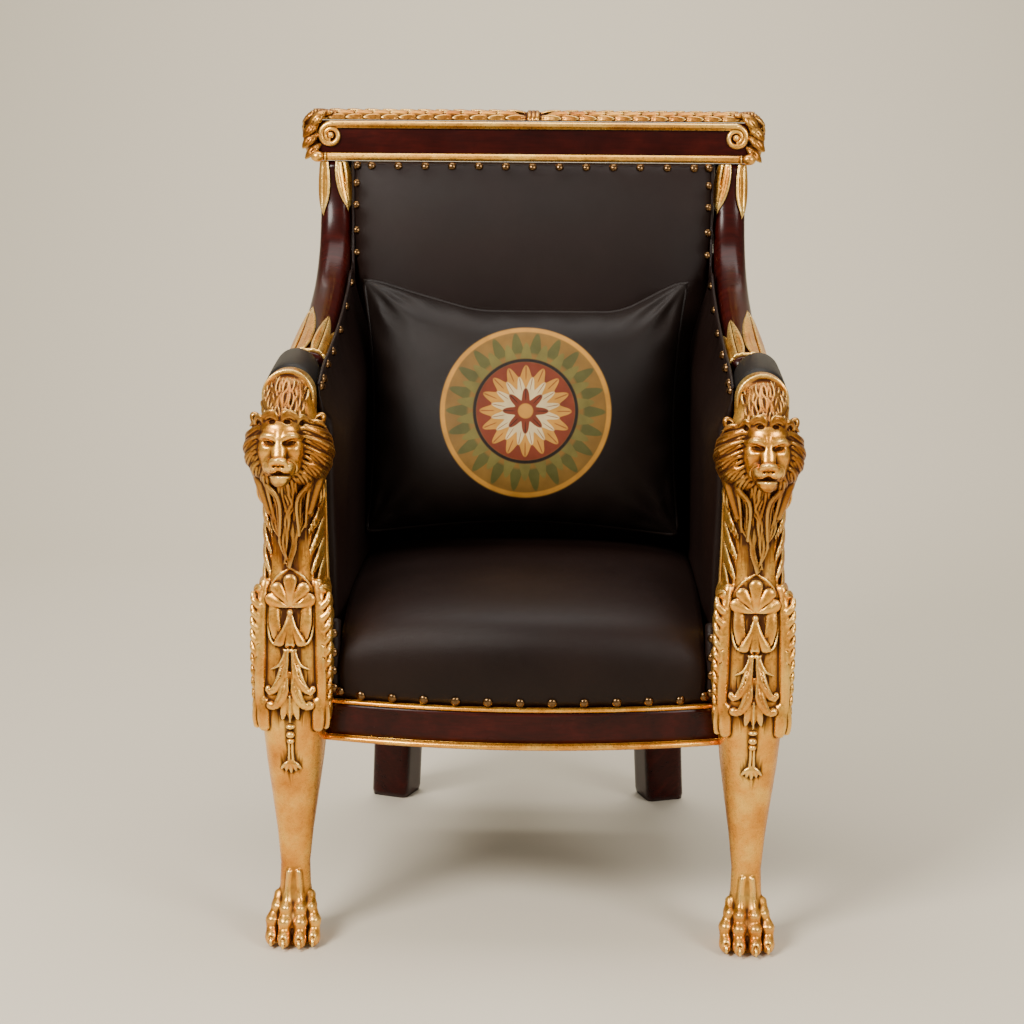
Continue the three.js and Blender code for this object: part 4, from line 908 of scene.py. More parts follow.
def carve_face(clay):
    clay.ball(on_head(0, 8, -5), (0.0305, 0.040, 0.041), 0.004)  # skull
    clay.ball(on_head(0, 23, 17), (0.0270, 0.0225, 0.0170), 0.006)  # forehead
    for s in (-1, 1):
        clay.ball(on_head(s * 18.5, 22, -9), (0.0115, 0.0205, 0.0165), 0.006)  # cheekbone
        clay.ball(on_head(s * 12, 26, -27), (0.0130, 0.019, 0.015), 0.006)  # jowl
        clay.ball(on_head(s * 8.5, 45, -27), (0.0115, 0.0135, 0.0095), 0.004)  # muzzle
    bridge = path(on_head, (0, 38, 18), (0, 44, 5), (0, 52, -17))
    for dx in (-3.4, 0, 3.4):
        clay.strand([p + (dx * MM, abs(dx) * 0.00025, 0) for p in bridge], 0.0058, 0.003)
    for s in (-1, 1):
        clay.pit(on_head(s * 14.8, 46.0, 2.0), (0.0108, 0.0095, 0.0050), 0.003)  # socket
        brow = path(on_head, (3.5, 43.0, 8.5), (10, 44.5, 10.5), (18, 41.5, 11), (26, 31, 7), side=s)
        clay.strand(brow, lambda t: (4.4 - 1.4 * t) * MM, 0.004)
        clay.ball(on_head(s * 14.8, 31.8, 2.0), (0.0070, 0.0066, 0.0052), 0.0006)  # eyeball
        clay.pit(on_head(s * 14.6, 39.2, 2.0), (0.0021, 0.0024, 0.0019), 0.0005)  # pupil
        upper = path(on_head, (6.5, 37.5, -1.0), (11, 39.8, 4.4), (17.5, 38.8, 5.2), (24, 31.5, 1.8),
                     side=s)
        clay.strand(upper, 0.0015, 0.0006)
        lower = path(on_head, (6.5, 37.5, -1.4), (11.5, 38.6, -1.9), (17.5, 37.4, -1.6), (23.5, 31.5, 1.0),
                     side=s)
        clay.strand(lower, 0.0011, 0.0008)
        clay.strand(path(on_head, (6, 59, -20.5), (9.8, 56.5, -22.5), (8.6, 54.5, -26), side=s), 0.0026,
                    0.0014)
        clay.pit(on_head(s * 5.2, 61, -26.6), (0.0032, 0.0060, 0.0021), 0.0008)  # nostril
        fold = path(on_head, (8.5, 53, -15), (14.5, 49, -20), (19.5, 40, -29), (17.5, 33, -40), side=s)
        clay.groove(fold, 0.0008, 0.0034)
        inner_brow = path(on_head, (3.0, 49, 11), (4.6, 46, 17), side=s)
        clay.groove(inner_brow, 0.0007, 0.0016, steps=4)
        for row in range(3):
            dots = path(on_head, (9, 57.5 - row, -27.5 - 2.2 * row), (15, 53 - row, -26.5 - 2.6 * row),
                        side=s)
            clay.groove(dots, 0.0005, 0.0009, steps=4)
    clay.ball(on_head(0, 56, -19.5), (0.0086, 0.0064, 0.0050), 0.003)  # nose
    clay.strand(path(on_head, (-7.5, 57.5, -18.5), (0, 61.5, -17.5), (7.5, 57.5, -18.5)), 0.0030, 0.002)
    clay.groove(path(on_head, (0, 63, -24), (0, 60, -30), (0, 58, -34)), 0.0008, 0.0014, steps=5)
    clay.ball(on_head(0, 36, -45), (0.0125, 0.0150, 0.0085), 0.005)  # chin
    clay.ball(on_head(0, 40, -50), (0.0080, 0.0100, 0.0050), 0.004)
    for reach in (0, 4, 8, 12):
        dxs = (-13.5, -10, -5, 0, 5, 10, 13.5)
        mouth = [on_head(dx, 60 - reach - abs(dx) * 0.35,
                         -34.8 - (abs(dx) / 13.5) ** 1.3 * 4.6) for dx in dxs]
        width = np.interp(np.linspace(-1, 1, 15), (-1, -0.5, 0, 0.5, 1), (0.5, 1.7, 2.7, 1.7, 0.5)) * MM
        clay.tubes([(spline(mouth, 15), width)], 0.0006, cut=True)
    lip = [on_head(dx, 50.5 - abs(dx) * 0.5, -41.5) for dx in (-12, -6, 0, 6, 12)]
    clay.strand(lip, lambda t: (1.0 + 1.5 * math.sin(math.pi * t)) * MM, 0.0018)


def mane_place(side, angle, reach, lift=0.0):
    """A point on the mane. angle: 0 over the head, by 0.5 beside it, to 1 under it. reach: from 0 at the
    face's edge, by 1 at the outline, to 2 behind."""
    s, c = math.sin(angle * math.pi), math.cos(angle * math.pi)
    near, behind = min(reach, 1), max(reach - 1, 0)
    x = mix(OUT / MM + side * 27.5 * s, side * 55.5 * s, near)
    up = mix(6 + 37 * c, -2 + 49 * c, near)
    forward = 27 * math.sqrt(1 - near**2 * 0.995) - 40 * behind
    point = np.array([x * (1 - 0.06 * behind), forward, up - 8 * behind])
    heart = np.array([0, -22, -2])
    point += unit(point - heart) * lift
    return on_mane(*point)


def carve_mane(clay):
    """Thick strands that sweep out from the edge of the face and down round it, grouped into locks."""
    clay.ball(on_mane(0, -22, -4), (0.0475, 0.038, 0.0455), 0.004)
    around = np.linspace(0.06, 0.94, 15)
    for side in (-1, 1):
        ring = np.array([mane_place(side, a, 0.50, -17.5) for a in around])
        clay.pipe(ring, 0.0135, 0.004)
    for side in (-1, 1):
        lines = []
        count = 29
        for i in range(count):
            start = mix(0.09, 0.86, i / (count - 1))
            bend = mix(0.17, 0.02, start)
            inner = i % 2 == 0
            lift = 1.9 * math.cos(2 * math.pi * i / 5.0) + rng.uniform(-0.5, 0.5)
            wave = rng.uniform(0.6, 1.3) * 0.009
            first = 0.03 if inner else 0.30
            points = []
            for t in np.linspace(0, 1, 9):
                reach = mix(first, 1.75, t)
                angle = start + bend * min(reach,
                                           1.4) ** 1.3 + wave * math.sin(2 * math.pi * (reach + 0.21 * i))
                points.append(mane_place(side, angle, reach,
                                         lift * math.sin(math.pi * min(1, 0.15 + 0.8 * t))))
            radius = (2.45 if inner else 2.2) * MM
            t = np.linspace(0, 1, 15)
            lines.append((spline(points, 15), radius * np.clip(np.minimum((t + 0.04) * 9, 1), 0.3, 1)))
        clay.tubes(lines, 0.0004)
        edge = np.array([on_head(side * 28.6 * math.sin(a), 27 + 3 * math.cos(a), -1 + 36 * math.cos(a))
                         for a in np.linspace(0.55, 2.45, 12)])
        clay.pipe(edge, 0.0013, 0.0012, cut=True)


def carve_curls(clay):
    """Arched curls over the forehead with dark hollows under them, and a smaller ring beside each."""
    for side in (-1, 1):
        clay.pit(on_head(side * 10, 38.5, 28), (0.0046, 0.0058, 0.0030), 0.0015)
        for grow, radius in ((0, 2.2), (3.4, 2.3), (6.6, 2.0)):
            arch = path(on_head, (2.2 - grow * 0.15, 35, 25), (4, 38, 31 + grow), (10.5, 37, 35 + grow),
                        (17.5 + grow * 0.5, 33, 31 + grow * 0.8), (19.5 + grow * 0.6, 29, 23), side=side)
            clay.strand(arch, leafy(radius * 1.15), 0.0004, steps=13)
        clay.pit(on_head(side * 26.5, 27.5, 25), (0.0032, 0.0050, 0.0034), 0.0012)
        for grow, radius in ((0, 1.9), (3.0, 2.0)):
            arch = path(on_head, (22 - grow * 0.2, 28, 21), (23, 31, 28 + grow), (28, 27, 31.5 + grow),
                        (32 + grow * 0.6, 21, 26 + grow * 0.5), (31.5 + grow, 19, 18), side=side)
            clay.strand(arch, leafy(radius * 1.15), 0.0004, steps=13)


def carve_ears(clay):
    """Small rounded ears laid back in the mane, hollow in front, with a tuft of hair across the foot."""
    for side in (-1, 1):
        tilt = np.array(Matrix.Rotation(side * math.radians(32), 3, "Y").transposed())
        clay.ball(on_mane(side * 40, 3, 36.5), (0.0076, 0.0062, 0.0115), 0.0012, turn=tilt)
        clay.pit(on_mane(side * 39.0, 9.2, 36.5), (0.0040, 0.0050, 0.0076), 0.001, turn=tilt)
        clay.lock(path(on_mane, (32, 17, 38), (40, 13, 35), (49, 4, 28), side=side), leafy(4.6), AHEAD, 3,
                  0.0005)


def carve_chest(clay):
    """Long wavy locks down the chest to a point, the middle ones longest, laid over each other."""
    base = path(on_front, (0, 640, -3), (0, 600, -4), (0, 560, -3), (0, 526, -2))
    clay.strand(base, lambda t: mix(32, 6, t) * MM, 0.003, 0.42, AHEAD)
    for side in (-1, 1):
        flank = path(on_mane, (40, -6, -26), (34, -2, -52), (26, -3, -82), side=side)
        clay.strand(flank, lambda t: mix(10, 5, t) * MM, 0.004)
        for i, (out, ahead,
                foot) in enumerate(((50, -16, 584), (44, -6, 574), (37, 4, 562), (30, 12, 552))):
            bend = (-3.5, 3.0, -2.5, 3.0)[i]
            long = path(on_mane, (out, ahead, -22), (out - 5 + bend, ahead + 3, -44),
                        (out - 13 - bend, ahead - 1, -66), (out - 17, ahead - 10,
                                                            foot - MANE / MM), side=side)
            clay.lock(long, lambda t: (6.2 - 2.6 * t) * MM, (side * 0.7, -0.7, 0), 2, 0.0006, 14,
                      ripple=0.0008)
    rows = (
        # count, top, tip beside, tip in the middle, spread of the tops, lift, half width
        (9, 628, 560, 508, 44, 8, 6.6),
        (8, 634, 586, 534, 40, 14, 6.6),
        (7, 638, 604, 568, 34, 19, 6.2),
    )
    for row, (count, top, side_tip, middle_tip, spread, lift, width) in enumerate(rows):
        for i in range(count):
            s = 2 * i / (count - 1) - 1
            tip = mix(middle_tip, side_tip, abs(s) ** 1.2) + rng.uniform(-5, 5)
            sway = (5.5 if (i + row) % 2 else -5.5) + rng.uniform(-1.5, 1.5)
            drift = 3.0 + rng.uniform(-1, 1)
            high = top - 4 * s * s
            rise = lift * (1 - 0.75 * s * s)
            start = on_mane(s * spread, mix(26, -4, s * s) - 3 * (row == 0), high - MANE / MM)
            line = [start,
                    on_front(s * spread * 0.78 + sway * 0.4, mix(high, tip, 0.34), rise + 2),
                    on_front(s * spread * 0.52 - sway + drift, mix(high, tip, 0.68), rise * 0.7 + 1.5),
                    on_front(s * spread * 0.30 + sway * 0.5 + drift * 0.5, tip, 1.0)]
            clay.lock(line, leafy(width), (s * 0.5, -1, 0), 3, 0.0005, 15, ripple=0.0011)
    hook = path(on_front, (-3, 560, 7), (-6, 540, 6), (-1, 520, 5), (1.5, 508, 3), (5, 515, 1.5))
    clay.lock(hook, leafy(4.6), AHEAD, 3, 0.0009, 14)


def carve_tuft(clay):
    """The tuft of mane that fans up from the forehead into the arch, in fine wavy strands."""
    core = path(on_head, (0, 5, 26), (0, -9, 43), (0, -41, 64))
    clay.strand(core, lambda t: mix(28, 25, t) * MM, 0.003, 0.30, (0, -0.75, 0.65))
    crown_z, crown_r = (ARCH["z"] - EYES) / MM, ARCH["r"] / MM - 6
    rows = ((23, 0.25, 1.0, 1.0, 1.9), (20, 0.05, 0.70, 3.6, 1.9), (15, 0.0, 0.38, 6.4, 1.8))
    for count, first, last, lift, radius in rows:
        lines = []
        for i in range(count):
            s = 2 * i / (count - 1) - 1
            end = mix(first, last, rng.uniform(0.88, 1.0))
            top = crown_z + crown_r * math.sqrt(1 - (0.93 * s) ** 2)
            phase = rng.uniform(0, 1)
            points = []
            for t in np.linspace(first, end, 9):
                wave = 1.7 * math.sin(2 * math.pi * (1.6 * t + phase))
                dx = s * mix(20, 27, min(1, 1.6 * t)) + wave
                dy = mix(27, -36, t**1.2) + lift + 3 * math.sin(math.pi * t) - 4 * s * s
                points.append(on_head(dx, dy, mix(26, top, t)))
            k = np.linspace(0, 1, 14)
            lines.append((spline(points, 14), radius * MM * np.clip((1.04 - k) * 5, 0.3, 1)))
        clay.tubes(lines, 0.0004)


def carve_arch(clay):
    """The round end of the arm: a bright flat band round a recess."""
    centre = LION_X + OUT
    reach = ARCH["r"] + 0.004
    part, (x, y, z) = clay.window((centre - reach, ARCH["front"] - 0.004, 0.692),
                                  (centre + reach, ARCH["back"] + 0.004, 0.768))
    above = np.maximum(z - ARCH["z"], 0)
    r = np.hypot(x - centre, above)
    middle, deep = (ARCH["front"] + ARCH["back"]) / 2, (ARCH["back"] - ARCH["front"]) / 2
    block = np.maximum(r - ARCH["r"], np.abs(y - middle) - deep)
    recess = np.maximum(r - (ARCH["r"] - ARCH["band"]), y - (ARCH["back"] - 0.014))
    clay.press(part, np.maximum(np.maximum(block, -recess), ARM_FOOT - z), 0.0015)


def lion():
    """A monopodium, from its paw to the lion's mane and the round end of the arm."""
    voxel = 0.0011
    clay = Clay((LION_X - 0.068, -0.066, -0.002), (LION_X + 0.068, 0.112, 0.768), voxel)
    for carve in (carve_body, carve_arch, carve_shaft, carve_side_leaves, carve_shell, carve_bell,
                  carve_drapery,
                  carve_paw, carve_mane, carve_chest, carve_tuft, carve_ears, carve_face, carve_curls):
        carve(clay)
    clay.trim(lambda x, y, z: 0.0003 - z)
    clay.trim(lambda x, y, z: y - (body_rear(z) + 0.0004).astype(np.float32))
    return carved("lion_right", clay, gilt, 190000, hair_of)


def hair_of(points):
    """1 where a point is in the hair, which is browner than the face and the leg."""
    x, y, z = points.T
    dx, up = np.abs(x - LION_X), z - EYES
    chest = (dx < np.interp(z, (0.505, 0.62), (0.012, 0.046))) & (z > 0.504) & (y < 0.03)
    face = (((x - LION_X - OUT) / 0.0285) ** 2 + ((up + 0.010) / 0.0385) ** 2 < 1) & (y < -0.014)
    rim = (np.hypot(x - LION_X - OUT,
                    np.maximum(z - ARCH["z"], 0)) > ARCH["r"] - 0.0065) & (z > 0.698) & (y > 0.018)
    return ((chest | (z > 0.622)) & ~face & ~rim).astype(float)


# ------------------------------------------------------------------ arms, posts and rails

SWEEP_LINE = spline([(0, y, z) for y, z in SWEEP], 161)
SWEEP_WAY = unit(np.gradient(SWEEP_LINE, axis=0))
SWEEP_LENGTH = np.linalg.norm(np.diff(SWEEP_LINE, axis=0), axis=1).sum()


def beside_sweep(t, off=0.0, dx=0.0):
    """A point beside the arm's middle line, t from 0 to 1: `off` to its upper front side, dx sideways."""
    at = np.clip(t, 0, 1) * (len(SWEEP_LINE) - 1)
    index = np.arange(len(SWEEP_LINE))
    y, z = (np.interp(at, index, SWEEP_LINE[:, k]) for k in (1, 2))
    wy, wz = (np.interp(at, index, SWEEP_WAY[:, k]) for k in (1, 2))
    return np.array([LION_X + dx, y - wz * off, z + wy * off])


def sweep_at(y):
    """How far along the sweep a given y comes, from 0 to 1."""
    return float(np.interp(y, SWEEP_LINE[:, 1], np.linspace(0, 1, len(SWEEP_LINE))))


@cache
def sweep_beside(off):
    return np.array([beside_sweep(t, off) for t in np.linspace(0, 1, 121)])


def sweep_height(off, y):
    """The height of the line beside the sweep at `off`, at a given y."""
    line = sweep_beside(off)
    return float(np.interp(y, line[:, 1], line[:, 2]))


def squared(angle, power):
    """A point of a circle that a higher power makes squarer."""
    c, s = math.cos(angle), math.sin(angle)
    r = (abs(c) ** power + abs(s) ** power) ** (-1 / power)
    return r * c, r * s


def arm_under(y):
    if y > PAD_END:
        return sweep_height(-POST_DEEP, min(y, 0.600))
    back = np.clip((y - 0.091) / (PAD_END - 0.091), 0, 1)
    return mix(ARM_FOOT, sweep_height(-POST_DEEP, PAD_END), back)


def post():
    """The polished post that rises out of the arm and turns up to the crest."""
    rings = [[beside_sweep(t, POST_DEEP * s, POST_HALF * c) for c,
              s in (squared(a, POST_SQUARE) for a in circle(40))]
             for t in np.linspace(sweep_at(PAD_END - 0.004), 1, 56)]
    for p in rings[-1]:
        p[2] = CREST["bottom"] - GAP
    rail = []
    for y in np.linspace(0.092, PAD_END + 0.004, 12):
        high, low = sweep_height(0, y) - 0.001, arm_under(min(y, PAD_END)) + 0.0005
        middle, half = (high + low) / 2, (high - low) / 2
        rail.append([np.array([LION_X + (POST_HALF - 0.0005) * c, y, middle + half * s])
                     for c, s in (squared(a, 7) for a in circle(40, 0.5))])
    return mesh_piece("post_right", *joined(tube_mesh(rings), tube_mesh(rail)), mahogany)


def arm_pad():
    """The half-round pad: leather drawn over stuffing, narrower and rounded off towards its rear, with a
    straight outer edge."""
    fullness = [0.96, 1, 1, 0.98, 0.94, 0.88, 0.75]
    rings = []
    ends = np.array([0.0004, 0.0012, 0.003, 0.006, 0.010])
    stations = np.r_[PAD_START + ends, np.linspace(PAD_START + 0.016, PAD_END - 0.016, 12),
                     PAD_END - ends[::-1]]
    for y in stations:
        near = 1 - min(y - PAD_START, 0.010) / 0.010
        far = 1 - min(PAD_END - y, 0.014) / 0.014
        along = (y - PAD_START) / (PAD_END - PAD_START)
        r = ARM_HALF * np.interp(along, np.linspace(0, 1, len(fullness)), fullness)
        middle = PAD_OUTER - r
        r *= (1 - 0.12 * (1 - math.sqrt(1 - near**2))) * (1 - 0.25 * (1 - math.sqrt(1 - far**2)))
        base = sweep_height(0, y) + GAP
        ring = []
        for a in circle(44):
            c, s = math.cos(a), math.sin(a)
            up = max(s, 0) ** 0.94 * ARM_RISE * r / ARM_HALF
            across = c if s >= 0 else math.copysign(1, c) * abs(c) ** 0.35
            ring.append(np.array([middle + r * across, y, base + up]))
        rings.append(ring)
    points, faces = tube_mesh(rings)
    return mesh_piece("arm_pad_leather_right", points, faces, arm_leather)


def post_place(t, around, out):
    """A point on the post's skin. around: 0 outside, a quarter turn in front, a half turn inside."""
    c, s = squared(around, POST_SQUARE)
    return beside_sweep(t, (POST_DEEP + out) * s, (POST_HALF + out) * c)


def post_facing(t, around):
    inner = beside_sweep(t)
    return unit(post_place(t, around, 0.01) - inner)


def carve_post_leaf(clay, start, end, around, width, lift=2.4, full=0.25, twist=0.0):
    """A leaf laid round the post: two raised halves that part at a sunk midrib and meet at the tip."""

    def half(t):
        if t < full:
            return width * MM * mix(0.72, 1, math.sin(math.pi / 2 * t / full))
        return width * MM * max(0.03, math.cos(math.pi / 2 * ((t - full) / (1 - full)) ** 1.2)) ** 0.9

    def line(out, side, count=22, first=0.0, last=1.0):
        made = []
        for t in np.linspace(first, last, count):
            rise = out * mix(1, 0.35, max(0, (t - 0.85) / 0.15))
            made.append(post_place(mix(start, end, t), around + twist * t + side * half(t) / POST_HALF,
                                   rise))
        return made

    for side in (-0.5, 0.5):
        facing = post_facing(mix(start, end, 0.4), around + twist * 0.4 + side * width * MM / POST_HALF)
        thick = [max(0.0006, half(t) * 0.60) for t in np.linspace(0, 1, 22)]
        clay.pipe(line(lift * MM, side), thick, 0.0007, flat=0.36, facing=facing)
    top = (lift + width * 0.17) * MM
    clay.pipe(line(top, 0, 18, 0.0, 0.95), np.linspace(0.0013, 0.0007, 18), 0.0007, cut=True)
    for side in (-0.55, 0.55):
        clay.pipe(line(top + 0.0006, side, 16, 0.04, 0.80), np.linspace(0.0007, 0.0005, 16), 0.0008,
                  cut=True)


def lower_collar():
    """Long leaves that clasp the root of the post behind the arm pad."""
    root = sweep_at(PAD_END + 0.005)
    voxel = 0.00095
    clay = Clay((LION_X - 0.036, 0.190, 0.712), (LION_X + 0.042, 0.425, 0.856), voxel)
    leaves = ((146, 1.8, 14, 2.4), (150, 0.08, 13.5, 2.4), (174, 1.30, 9.5, 3.4), (212, 0.62, 15.5, 3.2))
    for reach, quarters, width, lift in leaves:
        carve_post_leaf(clay, root, root + reach * MM / SWEEP_LENGTH, quarters * math.pi / 2, width, lift)
    for around in circle(48):
        clay.ball(post_place(root + 0.0035 / SWEEP_LENGTH, around, 0.0012), (0.003, 0.0042, 0.003), 0.0015)
    keep_off_leather(clay)
    clay.trim(lambda x, y, z: PAD_END + GAP - y)
    return carved("collar_lower_right", clay, gilt, 40000)


def keep_off_leather(clay):
    """Trims a collar flat beside the inside leather."""
    clay.trim(lambda x, y, z: INNER_FACE - x)


def upper_collar():
    """Two broad leaves side by side that hang down the front of the post from the crest."""
    top = 1 - 0.001 / SWEEP_LENGTH
    voxel = 0.0009
    clay = Clay((LION_X - 0.036, 0.545, 0.925), (LION_X + 0.042, 0.645, 1.022), voxel)
    for reach, quarters, width, full, twist in ((86, 0.55, 10.5, 0.4, -0.05), (78, 1.22, 11.5, 0.3, 0.45)):
        carve_post_leaf(clay, top, top - reach * MM / SWEEP_LENGTH, quarters * math.pi / 2, width, 2.6,
                        full, twist)
    keep_off_leather(clay)
    clay.trim(lambda x, y, z: z - CREST["bottom"] + 0.0012)
    return carved("collar_upper_right", clay, gilt, 20000)


def swept_section(name, stations, section, material):
    """A solid whose section(station) gives the same number of points at each station."""
    points, faces = tube_mesh([[np.array(p) for p in section(s)] for s in stations])
    return mesh_piece(name, points, faces, material)


def rounded_profile(corners, radius, steps=5):
    """A closed outline through corners, each rounded off by an arc-like curve."""
    made = []
    count = len(corners)
    for i in range(count):
        before, here, after = (np.array(corners[(i + k) % count], float) for k in (-1, 0, 1))
        a = here + unit(before - here) * min(radius, np.linalg.norm(before - here) / 2.05)
        b = here + unit(after - here) * min(radius, np.linalg.norm(after - here) / 2.05)
        for t in np.linspace(0, 1, steps):
            made.append((1 - t) ** 2 * a + 2 * t * (1 - t) * here + t**2 * b)
    return made


def crest_board():
    """The tablet: a polished board with softened edges and rounded-off ends."""
    c = CREST
    low, high = c["bottom"] + 0.0005, c["top"] - 0.0005
    profile = rounded_profile([(c["front"], low), (c["back"], low), (c["back"], high), (c["front"], high)],
                              0.005)
    ends = np.array([0, 0.0008, 0.0022, 0.004])
    stations = np.r_[-c["half"] + ends, np.linspace(-0.30, 0.30, 13), c["half"] - ends[::-1]]

    def section(x):
        inset = max(0.0, ends[-1] - (c["half"] - abs(x)))
        shrink = ends[-1] - math.sqrt(max(0.0, ends[-1] ** 2 - inset**2))
        middle = np.mean(profile, axis=0)
        return [(x, *(p + unit(middle - p) * shrink)) for p in profile]

    return swept_section("crest_board", stations, section, mahogany)


def rail_front(x, ahead=0.0):
    """The bowed front face of the front rail, `ahead` in front of it."""
    return RAIL["end"] - RAIL["bow"] * (1 - (x / RAIL["half"]) ** 2) - ahead


def front_rail():
    """The bowed rail, with a thin step under the upper bead."""
    low, high = RAIL["bottom"], RAIL["top"] - 0.0004
    outline = [(0, low + 0.002), (0, low + 0.024), (0, high - 0.0135), (0.0018, high - 0.012),
               (0.0018, high - 0.009), (0, high - 0.0075), (0, high), (-0.030, high),
               (-0.0315, high - 0.002), (-0.0315, low + 0.002), (-0.030, low), (-0.002, low)]
    return along_rail("front_rail", 0.2602, 49, outline, mahogany)


def along_rail(name, half, count, outline, material):
    """A section, as (ahead of the rail's face, z), carried along the bow of the front rail."""
    return swept_section(name, np.linspace(-half, half, count),
                         lambda x: [(x, rail_front(x, ahead), z) for ahead, z in outline], material)


def bead(name, half, low, high, proud):
    """A gilded half-round bead along the front rail."""
    middle, rise = (low + high) / 2, (high - low) / 2
    angles = np.linspace(0, math.pi, 13)
    outline = [(proud * math.sin(a), middle - rise * math.cos(a)) for a in angles]
    outline += [(0.0006, high), (0.0006, low)]
    return along_rail(name, half, 61, outline, gilt_plain)


def softened(node, name, radius, material):
    """A carried-over solid with its arrises rounded."""
    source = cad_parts[node]
    piece = new_piece(name, source.data.copy())
    piece.data.materials.clear()
    piece.data.materials.append(material)
    shape = bmesh.new()
    shape.from_mesh(piece.data)
    bmesh.ops.remove_doubles(shape, verts=shape.verts, dist=0.00005)
    bmesh.ops.dissolve_limit(shape, angle_limit=math.radians(2), verts=shape.verts, edges=shape.edges)
    shape.to_mesh(piece.data)
    shape.free()
    modified(piece, "BEVEL", width=radius, segments=3, limit_method="ANGLE", angle_limit=math.radians(30))
    return modified(smooth(piece), "WEIGHTED_NORMAL", keep_sharp=True)


def rear_leg():
    """A square sabre leg, turned in plan and swept back to its foot, with softened corners."""
    thick, worn = 0.031, 0.0015
    cos, sin = math.cos(math.radians(20)), math.sin(math.radians(20))
    rings = []
    for t in np.linspace(0, 1, 30):
        swept = (1 - t) ** 1.6
        x, y = mix(0.203, 0.215, swept), mix(0.586, 0.650, swept)
        z = t * (RAIL["bottom"] - 0.0008)
        half = thick - worn * (1 - min(1, z / worn))
        rings.append([np.array([x + half * (c * cos - s * sin), y + half * (c * sin + s * cos), z])
                      for c, s in (squared(a, 11) for a in circle(40, 0.5))])
    return mesh_piece("sabre_leg_right", *tube_mesh(rings), mahogany)


# ------------------------------------------------------------------ gilding of the crest


def bottom_moulding():
    """A half-round gilded moulding under the tablet, with a turned bulb at each end."""
    c = CREST
    middle = c["bottom"] + 0.006
    front = c["front"]
    clay = Clay((-0.341, front - 0.020, c["bottom"] - 0.004), (0.341, front + 0.003, c["bottom"] + 0.017),
                0.0012)
    line = np.array([(x, front - 0.0025, middle) for x in np.linspace(-c["half"], c["half"], 9)])
    clay.pipe(line, 0.0052, 0.001)
    for dz in (-0.0042, 0.0042):
        clay.pipe(line + (0, -0.0012, dz), 0.0016, 0.0004)
    for side in (-1, 1):
        clay.ball((side * (c["half"] + 0.001), c["front"] - 0.0070, middle), (0.0100, 0.0080, 0.0082),
                  0.001)
        clay.ball((side * (c["half"] - 0.011), c["front"] - 0.004, middle), (0.0022, 0.0072, 0.0070),
                  0.0006)
    behind_face(clay, c["front"] - 0.0005)
    return carved("crest_bead", clay, gilt, 30000)


def behind_face(clay, face):
    """Trims a moulding flat against the crest board's face."""
    clay.trim(lambda x, y, z: y - face)


def top_moulding():
    """The upper moulding, whose ends curl outwards and down into volutes with a button eye."""
    c, v = CREST, VOLUTE
    front = c["front"]
    clay = Clay((-0.333, front - 0.016, v["z"] - 0.026), (0.333, front + 0.003, c["top"] + 0.003), 0.0011)
    y = front - 0.0028
    height = c["top"] - 0.0058
    for dz, r in ((0.0, 0.0044), (-0.0047, 0.0019)):
        clay.pipe([(x, y - r * 0.3, height + dz) for x in np.linspace(-v["x"], v["x"], 9)], r, 0.0006)
    turns = np.linspace(0, 2.9 * math.pi, 46)
    inward = turns / turns[-1]
    r = mix(height - v["z"], 0.0072, inward**0.8)
    for side in (-1, 1):
        spiral = np.stack([side * (v["x"] + r * np.sin(turns)), 0 * r + y - 0.0006,
                           v["z"] + r * np.cos(turns)], 1)
        clay.pipe(spiral, mix(0.0046, 0.0026, inward), 0.0006)
        clay.ball((side * v["x"], y - 0.0010, v["z"]), (0.0050, 0.0052, 0.0050), 0.0006)
    behind_face(clay, c["front"] - 0.0005)
    return carved("crest_scroll", clay, gilt, 50000)


